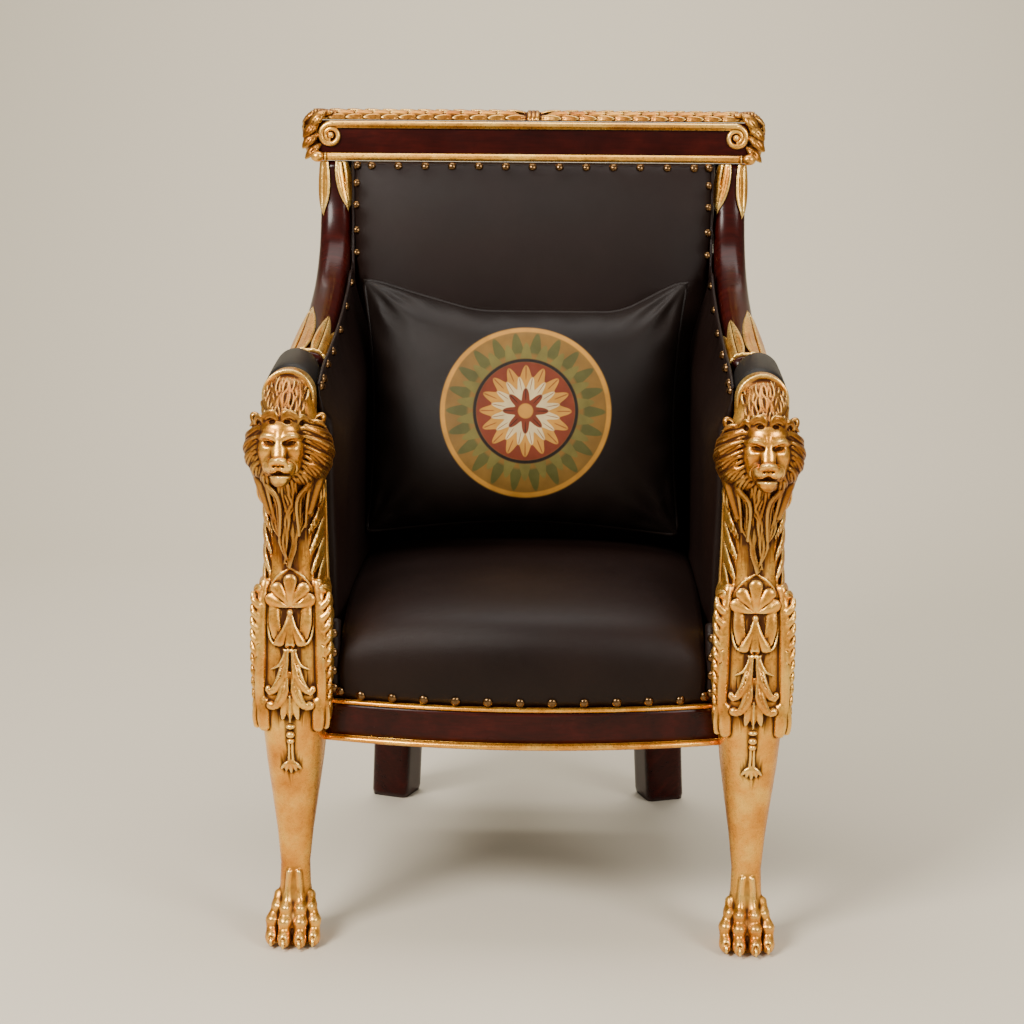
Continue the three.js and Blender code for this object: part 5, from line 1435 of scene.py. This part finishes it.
def garland():
    """Laurel leaves in overlapping groups along the top of the crest, bound in the middle, and a spray
    folded down over each end."""
    c, g = CREST, GARLAND
    middle = (c["front"] + c["back"]) / 2
    foot = c["top"] + 0.0005
    voxel = 0.0012
    clay = Clay((-0.356, c["front"] - 0.014, c["bottom"]), (0.356, c["back"] + 0.014, c["top"] + 0.021),
                voxel)
    core = np.array([(x, middle, foot - 0.002) for x in np.linspace(-c["half"], c["half"], 9)])
    clay.pipe(core, 0.0125, 0.002)
    for shift in (-0.010, 0.010):
        clay.pipe(core + (0, shift, -0.002), 0.009, 0.002)
    for side in (-1, 1):
        for i in range(g["leaves"]):
            start = 0.008 + i * g["pitch"]
            for k, around in enumerate(np.radians((14, 48, 90, 132, 166))):
                shift = 0.5 * g["pitch"] if k % 2 else 0.0
                line = []
                for t, out in ((0, 0.70), (0.35, 0.92), (0.75, 1.04), (1.0, 1.10)):
                    x = start + shift + t * g["pitch"] * 1.32
                    line.append((side * min(x, c["half"] + 0.012),
                                 middle - g["deep"] * out * math.cos(around),
                                 foot + (g["high"] - 0.0015) * out * math.sin(around)))
                facing = (0, -math.cos(around), math.sin(around))
                clay.strand(line, leafy(6.4), 0.0008, 0.42, facing)
                rib = np.array(line[:3]) + 0.0030 * np.array(facing)
                clay.groove(rib, 0.0006, 0.0007, steps=5)
        for i in range(9):
            a = mix(-0.95, 0.95, i / 8)
            y = middle + g["deep"] * 1.12 * math.sin(a * 1.35)
            drop = mix(0.056, 0.010, abs(a) / 0.95)
            line = [(side * (c["half"] - 0.020), y, foot + 0.010),
                    (side * (c["half"] + 0.009), y, foot + 0.0075),
                    (side * (c["half"] + 0.0235), y, foot - drop * 0.45),
                    (side * (c["half"] + 0.018), y, foot - drop)]
            clay.strand(line, leafy(7.2), 0.0008, 0.45, (side, -0.25, 0.3), steps=12)
            clay.groove(np.array(line[1:]) + (side * 0.0034, 0, 0.0006), 0.0007, 0.0007, steps=8)
        for up, radius in ((-0.004, 0.013), (-0.022, 0.0125), (-0.040, 0.0105)):
            clay.ball((side * (c["half"] + 0.008), c["front"] + 0.010, foot + up), (0.0115, 0.014, radius),
                      0.002)
        spray = ((0.003, 0.004, 8.5), (0.013, -0.012, 8.0), (0.014, -0.028, 8.0), (0.010, -0.044, 7.0))
        for dx, up, width in spray:
            x = side * (c["half"] + dx)
            line = [(x - side * 0.012, c["front"] - 0.001, foot + up + 0.006),
                    (x, c["front"] - 0.008, foot + up - 0.004),
                    (x + side * 0.010, c["front"] - 0.004, foot + up - 0.016)]
            clay.strand(line, leafy(width), 0.0008, 0.45, (side * 0.4, -1, 0.2))
            clay.groove(np.array(line) + (0, -0.0034, 0), 0.0007, 0.0007, steps=6)
    for x in (-0.0060, 0.0, 0.0060):
        for around in np.linspace(0.05, math.pi - 0.05, 16):
            y = middle - g["deep"] * 0.96 * math.cos(around)
            clay.ball((x, y, foot + (g["high"] - 0.003) * math.sin(around)), 0.0036, 0.001)
    clay.trim(lambda x, y,
              z: -np.maximum(np.abs(x) - c["half"] - GAP, np.maximum(c["front"] - 0.0002 - y, z - foot)))
    clay.trim(lambda x, y, z: np.where(np.abs(x) < 0.31, foot - z, -1.0))
    return carved("laurel_garland", clay, gilt, 150000, 1.0)


# ------------------------------------------------------------------ upholstery

SEAT_HALF_FRONT, SEAT_HALF, SEAT_FOOT = 0.2455, 0.2385, 0.3268
SEAT_PITCH, SEAT_SHIFT = 0.0420, -0.0020  # of the nails along the seat's front
BACK_HALF, BACK_EDGE, BACK_ROLL = 0.2710, 0.576, 0.046
BACK_TOP = CREST["bottom"] - GAP
SHOULDER = 0.840  # above this the inside back widens over the side pads
SIDE_INNER, SIDE_FACE, SIDE_TUCK = 0.2405, 0.2710, 0.0285
SIDE_FRONT, SIDE_REAR = 0.0765, 0.553


def two_sheets(name, rows, columns, place, material):
    """A closed skin of two sheets joined round their edges. place(row, column) gives a point of each."""
    grid = np.array([[place(u, v) for v in columns] for u in rows], float)
    height, width = grid.shape[:2]
    count = height * width
    faces = grid_faces(height, width)
    faces += [tuple(i + count for i in reversed(face)) for face in faces]
    rim = list(range(width)) + [i * width + width - 1 for i in range(1, height)]
    rim += [(height - 1) * width + j for j in range(width - 2, -1, -1)]
    rim += [i * width for i in range(height - 2, 0, -1)]
    faces += [(a, a + count, b + count, b) for a, b in zip(rim, rim[1:] + rim[:1])]
    return mesh_piece(name, np.moveaxis(grid, 2, 0).reshape(-1, 3), faces, material)


def crowded(count):
    """Stations from -1 to 1 that crowd together at both ends."""
    return np.sin(np.linspace(-1, 1, count) * math.pi / 2)


def waved(place, pitch):
    return math.cos(2 * math.pi * place / pitch)


# The seat's leather from the rail up over its front edge and back, as (0, ahead of the rail, z).
SEAT_PROFILE = spline([
    (0, -0.0010, 0.3268), (0, 0.0035, 0.334), (0, 0.0085, 0.352), (0, 0.0100, 0.380), (0, 0.0060, 0.408),
    (0, -0.0060, 0.430), (0, -0.0290, 0.446), (0, -0.0750, 0.4590), (0, -0.1500, 0.4690),
    (0, -0.2500, 0.4716), (0, -0.3600, 0.4712), (0, -0.4500, 0.4655), (0, -0.4900, 0.4560)], 60)


def seat_ahead(z):
    """How far the seat's front stands ahead of the rail at a height."""
    return float(np.interp(z, SEAT_PROFILE[:30, 2], SEAT_PROFILE[:30, 1]))


def seat():
    """The sprung seat: leather pulled down over a soft front edge and nailed along the rail."""

    def place(step, s):
        _, ahead, z = step
        narrowing = smoothstep(rail_front(s * SEAT_HALF_FRONT) - ahead, 0.0, 0.040)
        x = s * mix(SEAT_HALF_FRONT, SEAT_HALF, narrowing)
        y = rail_front(x) - ahead
        droop = smoothstep(z, 0.345, 0.440) * (0.016 * abs(s) ** 6 + 0.012 * s * s)
        pucker = 0.0008 * waved(x - SEAT_SHIFT, SEAT_PITCH) * (1 - smoothstep(z, 0.334, 0.372))
        return (x, y - pucker, z - droop), (x, min(max(y, rail_front(x) + 0.004), 0.520), SEAT_FOOT)

    return two_sheets("seat_cover", SEAT_PROFILE, np.linspace(-1, 1, 61), place, leather)


def back_front(x, z):
    """The front of the inside back: rolled forward from its nailed edges."""
    across = 1 - min(abs(x / BACK_HALF), 1) ** 6
    up = 1 - np.clip((z - 0.700) / (BACK_TOP - 0.700), 0, 1) ** 3
    return BACK_EDGE - BACK_ROLL * math.sqrt(max(0.0, across * up))


def up_back(z):
    """How far up the outside back a height is: 0 at the rail, 1 at the crest."""
    return (z - RAIL["top"]) / (CREST["bottom"] - RAIL["top"])


def back_rear(z):
    return mix(BACK_AT_RAIL, BACK_AT_CREST, up_back(z))


def outer_half(z):
    return mix(0.250, 0.2715, up_back(z))


def inside_back():
    """The inside back: wide between the posts, and narrower between the side pads below."""

    def place(z, s):
        tucked = SIDE_TUCK * smoothstep((z - LEATHER_FOOT) / (SHOULDER - GAP - LEATHER_FOOT), 0.75, 1.0)
        half = mix(SIDE_INNER + tucked - 0.0008, BACK_HALF,
                   smoothstep(z, SHOULDER - 0.010, SHOULDER + 0.004))
        x = s * half
        beside = smoothstep(abs(x), BACK_HALF - 0.030, BACK_HALF) * smoothstep(z, SHOULDER, SHOULDER + 0.03)
        high = smoothstep(z, BACK_TOP - 0.032, BACK_TOP)
        pucker = 0.0012 * (waved(z, 0.038) * beside + waved(x, 0.0415) * high)
        y = back_front(x, z) - pucker * (1 - 0.6 * smoothstep(z, BACK_TOP - 0.003, BACK_TOP))
        return (x, min(y, BACK_EDGE), z), (s * max(half * 1.016, 0.2637), back_rear(z) - 0.0135, z)

    levels = np.r_[np.linspace(LEATHER_FOOT, SHOULDER - 0.012, 45),
                   np.linspace(SHOULDER - 0.006, BACK_TOP, 45)]
    return two_sheets("inside_back", levels, crowded(81), place, leather)


def wall_x(y, z):
    """The outside face of the leather beside the seat."""
    rise = np.clip((z - RAIL["top"]) / (ARM_FOOT - RAIL["top"]), 0, 1)
    back = np.clip((y - 0.090) / (0.560 - 0.090), 0, 1)
    return mix(mix(0.292, 0.277, back), 0.320, rise)


@cache
def side_top(y):
    if y > BACK_EDGE - BACK_ROLL:
        return SHOULDER - GAP
    return sweep_height(mix(0.008, 0.020, float(np.clip((y - 0.076) / 0.060, 0, 1))), y)


def tucked_face(y, v):
    """How far out the inside leather of an arm stands: v from 0 at its foot to 1 at its top."""
    lead = 1 - float(np.clip((y - 0.076) / 0.090, 0, 1))
    return SIDE_INNER + SIDE_TUCK * max(smoothstep(v, 0.75, 1.0), 0.8 * lead**2)


def nailed_face(y, z):
    """The same at a height."""
    return tucked_face(y, np.clip((z - LEATHER_FOOT) / (side_top(y) - LEATHER_FOOT), 0, 1))


def side_pad():
    """The padding inside an arm, plump in the middle and rounded over to the nails along its top."""

    def place(y, v):
        z = mix(LEATHER_FOOT, side_top(y), v)
        station = max(y, body_rear(z) + 0.0045)
        inner = tucked_face(y, v)
        pucker = 0.0009 * waved(y, 0.0395) * smoothstep(v, 0.90, 1.0)
        outer = max(min(SIDE_FACE, wall_x(station, z) - 0.0105), inner + 0.002)
        return (inner + pucker, station, z), (outer, station, z)

    stations = np.linspace(SIDE_FRONT, SIDE_REAR, 58)
    return two_sheets("side_lining_right", stations, np.linspace(0, 1, 34), place, leather)


def outer_back():
    """The plain outside back."""

    def place(z, s):
        rise = (z - RAIL["top"]) / (BACK_TOP - RAIL["top"])
        full = 0.0028 * (1 - s**8) * (1 - abs(2 * rise - 1) ** 10)
        x, y = outer_half(z) * s, back_rear(z) - 0.0032
        return (x, y + full, z), (x, y - 0.0068, z)

    return two_sheets("outside_back", np.linspace(RAIL["top"] + GAP, BACK_TOP, 40), crowded(40), place,
                      leather)


def outer_side():
    """The leather outside an arm, carried round the rear corner."""
    turn_at, corner_y = 0.7, 0.560

    def plan(u, z, inset):
        straight = mix(body_rear(min(z, ARM_FOOT)) + 0.0022, corner_y, min(u / turn_at, 1))
        x = wall_x(straight, z)
        if u <= turn_at:
            return x - inset, straight, z
        corner = outer_half(z) + 0.0012
        a = math.pi / 2 * (u - turn_at) / (1 - turn_at)
        deep = back_rear(z) - corner_y
        return corner + (x - corner - inset) * math.cos(a), corner_y + (deep - inset) * math.sin(a), z

    def place(u, v):
        top = arm_under(plan(u, ARM_FOOT, 0)[1]) - 0.0036
        z = mix(RAIL["top"] + GAP, top, v)
        dent = 0.0022 * (abs(2 * v - 1) ** 10 + (1 - min(1, u / 0.03)))
        return plan(u, z, min(dent, 0.003)), plan(u, z, 0.009)

    return two_sheets("outside_arm_right", np.linspace(0, 1, 64), np.linspace(0, 1, 30), place, leather)


# ------------------------------------------------------------------ nails and welts


def nails(name, places):
    """Domed nails. Each place is (point on the leather, outward direction)."""
    dome = [(1.0, 0.0), (1.02, 0.10), (0.98, 0.22), (0.86, 0.42), (0.64, 0.60), (0.36, 0.71), (0.14, 0.745)]
    made = []
    for place, direction in places:
        n = unit(direction)
        u = unit(np.cross(n, (0.1, 0.3, 1.0)))
        w = np.cross(n, u)
        tilt = rng.normal(0, 0.05, 2)
        size = NAIL_R * rng.uniform(0.96, 1.04)
        rings = [[place + size * (c * u + s * w + n * (h + c * tilt[0] + s * tilt[1]))
                  for c, s in ((r * math.cos(a), r * math.sin(a)) for a in circle(14))] for r, h in dome]
        made.append(tube_mesh(rings, (place - size * 0.2 * n, place + size * 0.75 * n)))
    return mesh_piece(name, *joined(*made), brass)


def cord_along(name, points, radius, sides, material=leather, closed=False):
    """A thin round welt or piping through points."""
    points = np.asarray(points)
    way = np.roll(points, -1, 0) - np.roll(points, 1, 0) if closed else np.gradient(points, axis=0)
    side = unit(np.cross(unit(way), (0.13, 0.21, 0.97)))
    rise = np.cross(side, unit(way))
    rings = [[p + radius * (math.cos(a) * u + math.sin(a) * v) for a in circle(sides)]
             for p, u, v in zip(points, side, rise)]
    if not closed:
        return mesh_piece(name, *tube_mesh(rings), material)
    count = len(rings) * sides
    faces = [tuple(i % count for i in face) for face in grid_faces(len(rings) + 1, sides, closed=True)]
    return mesh_piece(name, [p for ring in rings for p in ring], faces, material)


def seat_nails():
    row = [(k * SEAT_PITCH + SEAT_SHIFT, 0.3335) for k in range(-5, 6)]
    row += [(-0.2400, 0.3375), (0.2400, 0.3375)]
    places = []
    for x, z in row:
        slope = 2 * RAIL["bow"] * x / RAIL["half"] ** 2
        places.append(((x, rail_front(x) - seat_ahead(z) - 0.0010, z), (slope, -1, -0.25)))
    return nails("nails_seat", places)


# The nails up the inside of each arm and post, as (y, z) from the crest down to the pad's front.
POST_NAILS = [(0.5745, 1.0130), (0.5720, 0.9866), (0.5690, 0.954), (0.5660, 0.916), (0.5610, 0.882),
              (0.4915, 0.8411), (0.4165, 0.8113), (0.3285, 0.7860), (0.2290, 0.7657), (0.1650, 0.7551),
              (0.1120, 0.7410), (0.0880, 0.7347)]


def back_nails():
    """The nails round the inside back, along the arms and down the seat's front corners."""
    sunk = 0.0008
    high = 1.0125
    places = [((x, back_front(x, high) - sunk, high), (0, -1, 0.25)) for x in (np.arange(13) - 6) * 0.0406]
    for side in (-1, 1):
        for y, z in POST_NAILS:
            if z > 0.85:
                place, direction = (0.2655, back_front(0.2655, z) - sunk, z), (-0.5, -1, 0.1)
            else:
                place, direction = (nailed_face(y, z) - GAP, y, z), (-0.8, -0.75, 0.35)
            places.append(((side * place[0], *place[1:]), (side * direction[0], *direction[1:])))
        for z in (0.342, 0.366, 0.390, 0.414):
            places.append(((side * 0.2480, rail_front(0.25) - seat_ahead(z) - sunk, z),
                           (-side * 0.2, -1, 0)))
    return nails("nails_back", places)


# ------------------------------------------------------------------ cushion

CUSHION = {"width": 0.480, "height": 0.375, "thick": 0.150, "pinch": 0.06, "dip": 0.046, "rise": 0.020,
           "lean": math.radians(14), "x": -0.008, "y": 0.436, "z": 0.664, "foot": 0.955}
MEDALLION = {"x": 0.004, "up": -0.014, "reach": 0.127}


def cushion_outline(s, t):
    """The cushion's flat cut, s across and t up, both from -1 to 1: x and height."""
    c = CUSHION
    x = c["width"] / 2 * s * (1 - c["pinch"] * (1 - t * t)) * mix(c["foot"], 1, (t + 1) / 2)
    if t > 0:
        spread = [s + shift for shift in (-0.07, 0, 0.07)]
        notch = np.mean([np.interp(at, (-1, -0.29, 0.59, 1), (0, 1, 1, 0)) for at in spread])
        sag = c["dip"] * notch * (1 - s**8)
    else:
        sag = c["rise"] * (1 - abs(s) ** 1.7)
    return x, t * (c["height"] / 2 - sag)


def leaning(x, y, up):
    """A point of the upright cushion, carried to where the cushion leans."""
    c = CUSHION
    cos, sin = math.cos(c["lean"]), math.sin(c["lean"])
    return x + c["x"], y * cos + up * sin + c["y"], up * cos - y * sin + c["z"]


def cushion():
    """The loose cushion, plump in the middle, with gathers that run in from its corners and edges."""

    def place(t, s):
        x, up = cushion_outline(s, t)
        gather = 0.55 * math.cos(23 * s + 3 * t) * math.exp(-((1 - abs(t) - 0.06) / 0.10) ** 2)
        gather += 0.45 * math.cos(19 * t + 2 * s) * math.exp(-((1 - abs(s) - 0.05) / 0.08) ** 2)
        for corner_s, corner_t in ((-1, -1), (-1, 1), (1, -1), (1, 1)):
            ds, dt = 1.2 * (1 - s * corner_s), 1 - t * corner_t
            fan = math.cos(11 * math.atan2(dt, ds) + 2 * corner_s + corner_t)
            gather += fan * math.exp(-((math.hypot(ds, dt) - 0.22) / 0.20) ** 2)
        swell = ((1 - s**4) * (1 - t**4)) ** 0.6
        fold = 0.0034 * gather * min(1, (1 - s * s) * (1 - t * t) * 14)
        half = 0.0005 + CUSHION["thick"] / 2 * swell
        return leaning(x, -half - fold, up), leaning(x, half + fold, up)

    piece = two_sheets("cushion", crowded(97), crowded(121), place, cushion_leather)
    mark_medallion(piece)
    return piece


def mark_medallion(piece):
    """Stores where each point lies in the printed medallion: across and up, 1 at its edge, and whether
    it is on the front."""
    c, m = CUSHION, MEDALLION
    x, y, z = (coordinates(piece) - (c["x"], c["y"], c["z"])).T
    cos, sin = math.cos(c["lean"]), math.sin(c["lean"])
    store(piece, "across", (x - m["x"]) / m["reach"])
    store(piece, "up", (y * sin + z * cos - m["up"]) / m["reach"])
    store(piece, "front", (y * cos - z * sin < 0).astype(float))


def piping():
    """The cord sewn round the cushion's edge."""
    edge = [(s, 1) for s in np.linspace(-1, 1, 60)] + [(1, t) for t in np.linspace(0.96, -1, 48)]
    edge += [(s, -1) for s in np.linspace(0.96, -1, 60)] + [(-1, t) for t in np.linspace(-0.96, 0.96, 48)]
    points = []
    for s, t in edge:
        x, up = cushion_outline(s * 0.995, t)
        points.append(leaning(x, 0, up * 0.993))
    return cord_along("cushion_piping", points, 0.0042, 8, cushion_leather, closed=True)


def gimp(side):
    """The narrow dark braid between the nails and the post, from the crest down to the pad's front."""
    route = [(INNER_FACE, 0.5740, 1.0165), (INNER_FACE, 0.5730, 0.9866), (INNER_FACE, 0.5720, 0.954),
             (INNER_FACE, 0.5700, 0.916), (0.2718, 0.5600, 0.882), (0.2700, 0.5380, 0.8480)]
    for y in np.linspace(0.51, 0.080, 12):
        route.append((nailed_face(y, side_top(y)) + 0.0012, y, side_top(y) + GAP))
    name = "gimp_right" if side > 0 else "gimp_left"
    return cord_along(name, spline([(side * x, y, z) for x, y, z in route], 110), 0.0026, 8)


def corner_welt(side):
    """The rolled leather edge between the seat's front corner and the monopodium."""
    name = "corner_welt_right" if side > 0 else "corner_welt_left"
    levels = np.linspace(0.3315, 0.428, 24)
    points = [(side * 0.2472, rail_front(0.25) - seat_ahead(z) + 0.0068, z) for z in levels]
    return cord_along(name, points, 0.0078, 12)


def top_gimp():
    """The same braid along the top of the inside back."""
    points = [(x, back_front(x, 1.0165) + 0.0010, 1.0150) for x in np.linspace(-0.2690, 0.2690, 60)]
    return cord_along("gimp_top", points, 0.0022, 8)


# ------------------------------------------------------------------ camera and light


def camera():
    """The photographer's view: from just right of the middle, a little above the crest's height."""
    data = bpy.data.cameras.new("camera")
    data.lens = 72.9
    data.sensor_width = 36
    seat = new_piece("camera", data)
    seat.location = (0.045, -2.61 + FRONT, 1.06)
    level, pitch, yaw, roll = math.radians(90), math.radians(-10.3), 0.0227, math.radians(0.45)
    turn = Euler((level + pitch, 0, yaw)).to_matrix() @ Matrix.Rotation(roll, 3, "Z")
    seat.rotation_euler = turn.to_euler()
    bpy.context.scene.camera = seat


def area_light(name, place, target, size, power, color):
    data = bpy.data.lights.new(name, "AREA")
    data.shape = "RECTANGLE"
    data.size, data.size_y = size
    data.energy = power
    data.color = color
    lamp = new_piece(name, data)
    lamp.location = place
    lamp.rotation_euler = (Vector(target) - Vector(place)).to_track_quat("-Z", "Y").to_euler()


def studio():
    """A pale floor that sweeps up behind the throne, a soft even world and large soft boxes."""
    world = bpy.data.worlds.new("studio")
    bpy.context.scene.world = world
    world.use_nodes = True
    background = world.node_tree.nodes["Background"]
    background.inputs["Color"].default_value = (0.82, 0.775, 0.685, 1)
    background.inputs["Strength"].default_value = 0.52
    area_light("key", (-1.7, -2.3, 2.5), (0, 0, 0.6), (1.2, 0.9), 172, (1, 0.95, 0.88))
    area_light("fill", (2.0, -2.2, 1.8), (0, 0, 0.6), (1.1, 1.1), 62, (1, 0.96, 0.90))
    area_light("top", (0, 0.3, 3.0), (0, 0, 0.5), (2.2, 1.6), 62, (1, 0.97, 0.93))
    area_light("sweep", (0, 1.9, 2.9), (0, 4.2, 0.4), (3.0, 1.0), 88, (1, 0.96, 0.88))
    pale = Recipe("floor")
    pale.set(Base_Color=(0.60, 0.545, 0.445), Roughness=0.8, Specular_IOR_Level=0.2)
    reach, bend = 14, 2.2
    profile = [(-reach, 0), (bend, 0)]
    angles = np.linspace(0.05, math.pi / 2, 24)
    profile += [(bend + bend * math.sin(a), bend - bend * math.cos(a)) for a in angles]
    profile += [(2 * bend, 9.0)]
    points = [(x, y - FRONT, z) for y, z in profile for x in (-reach, reach)]
    mesh_piece("floor", points, grid_faces(len(profile), 2), pale.material)


# ------------------------------------------------------------------ the throne


def both(right, slot, *nodes):
    """A piece of the right side with its mirror image, each standing for its side's solids."""
    left = mirrored_copy(right, right.name.replace("right", "left"))
    ride(right, slot, *[f"{n}_right" for n in nodes])
    ride(left, slot, *[f"{n}_left" for n in nodes])
    return left, right


both(lion(), "gilt", "lion_monopodium")
both(post(), "mahogany", "arm_post")
both(lower_collar(), "gilt", "leaf_collar_lower")
both(upper_collar(), "gilt", "leaf_collar_upper")
both(rear_leg(), "mahogany", "rear_leg")
ride(crest_board(), "mahogany", "crest_rail")
ride(front_rail(), "mahogany", "seat_rail_front")
top, bottom = RAIL["top"], RAIL["bottom"]
ride(bead("bead_upper", 0.2555, top - 0.007, top - 0.0003, 0.005), "gilt", "seat_bead_upper")
ride(bead("bead_lower", 0.2605, bottom - 0.004, bottom + 0.005, 0.007), "gilt", "seat_bead_lower")
both(softened("seat_rail_side_right", "side_rail_right", 0.002, mahogany), "mahogany", "seat_rail_side")
ride(softened("seat_rail_back", "back_rail", 0.002, mahogany), "mahogany", "seat_rail_back")
ride(bottom_moulding(), "gilt", "crest_moulding_bottom")
ride(top_moulding(), "gilt", "crest_moulding_top")
ride(garland(), "gilt", "crest_garland")

for pad in both(arm_pad(), "arm_leather", "arm_pad"):
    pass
for lining in both(side_pad(), "leather", "side_pad"):
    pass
both(outer_side(), "leather", "outer_side_panel")
ride(outer_back(), "leather", "outer_back_panel")
ride(seat(), "leather", "seat_upholstery")
ride(inside_back(), "leather", "back_pad")
ride(cushion(), "cushion_leather", "loose_cushion")
ride(piping(), "cushion_leather")
ride(top_gimp(), "leather")
for side in (-1, 1):
    ride(gimp(side), "leather")
    ride(corner_welt(side), "leather")
ride(seat_nails(), "nails")
ride(back_nails(), "nails")

camera()
studio()
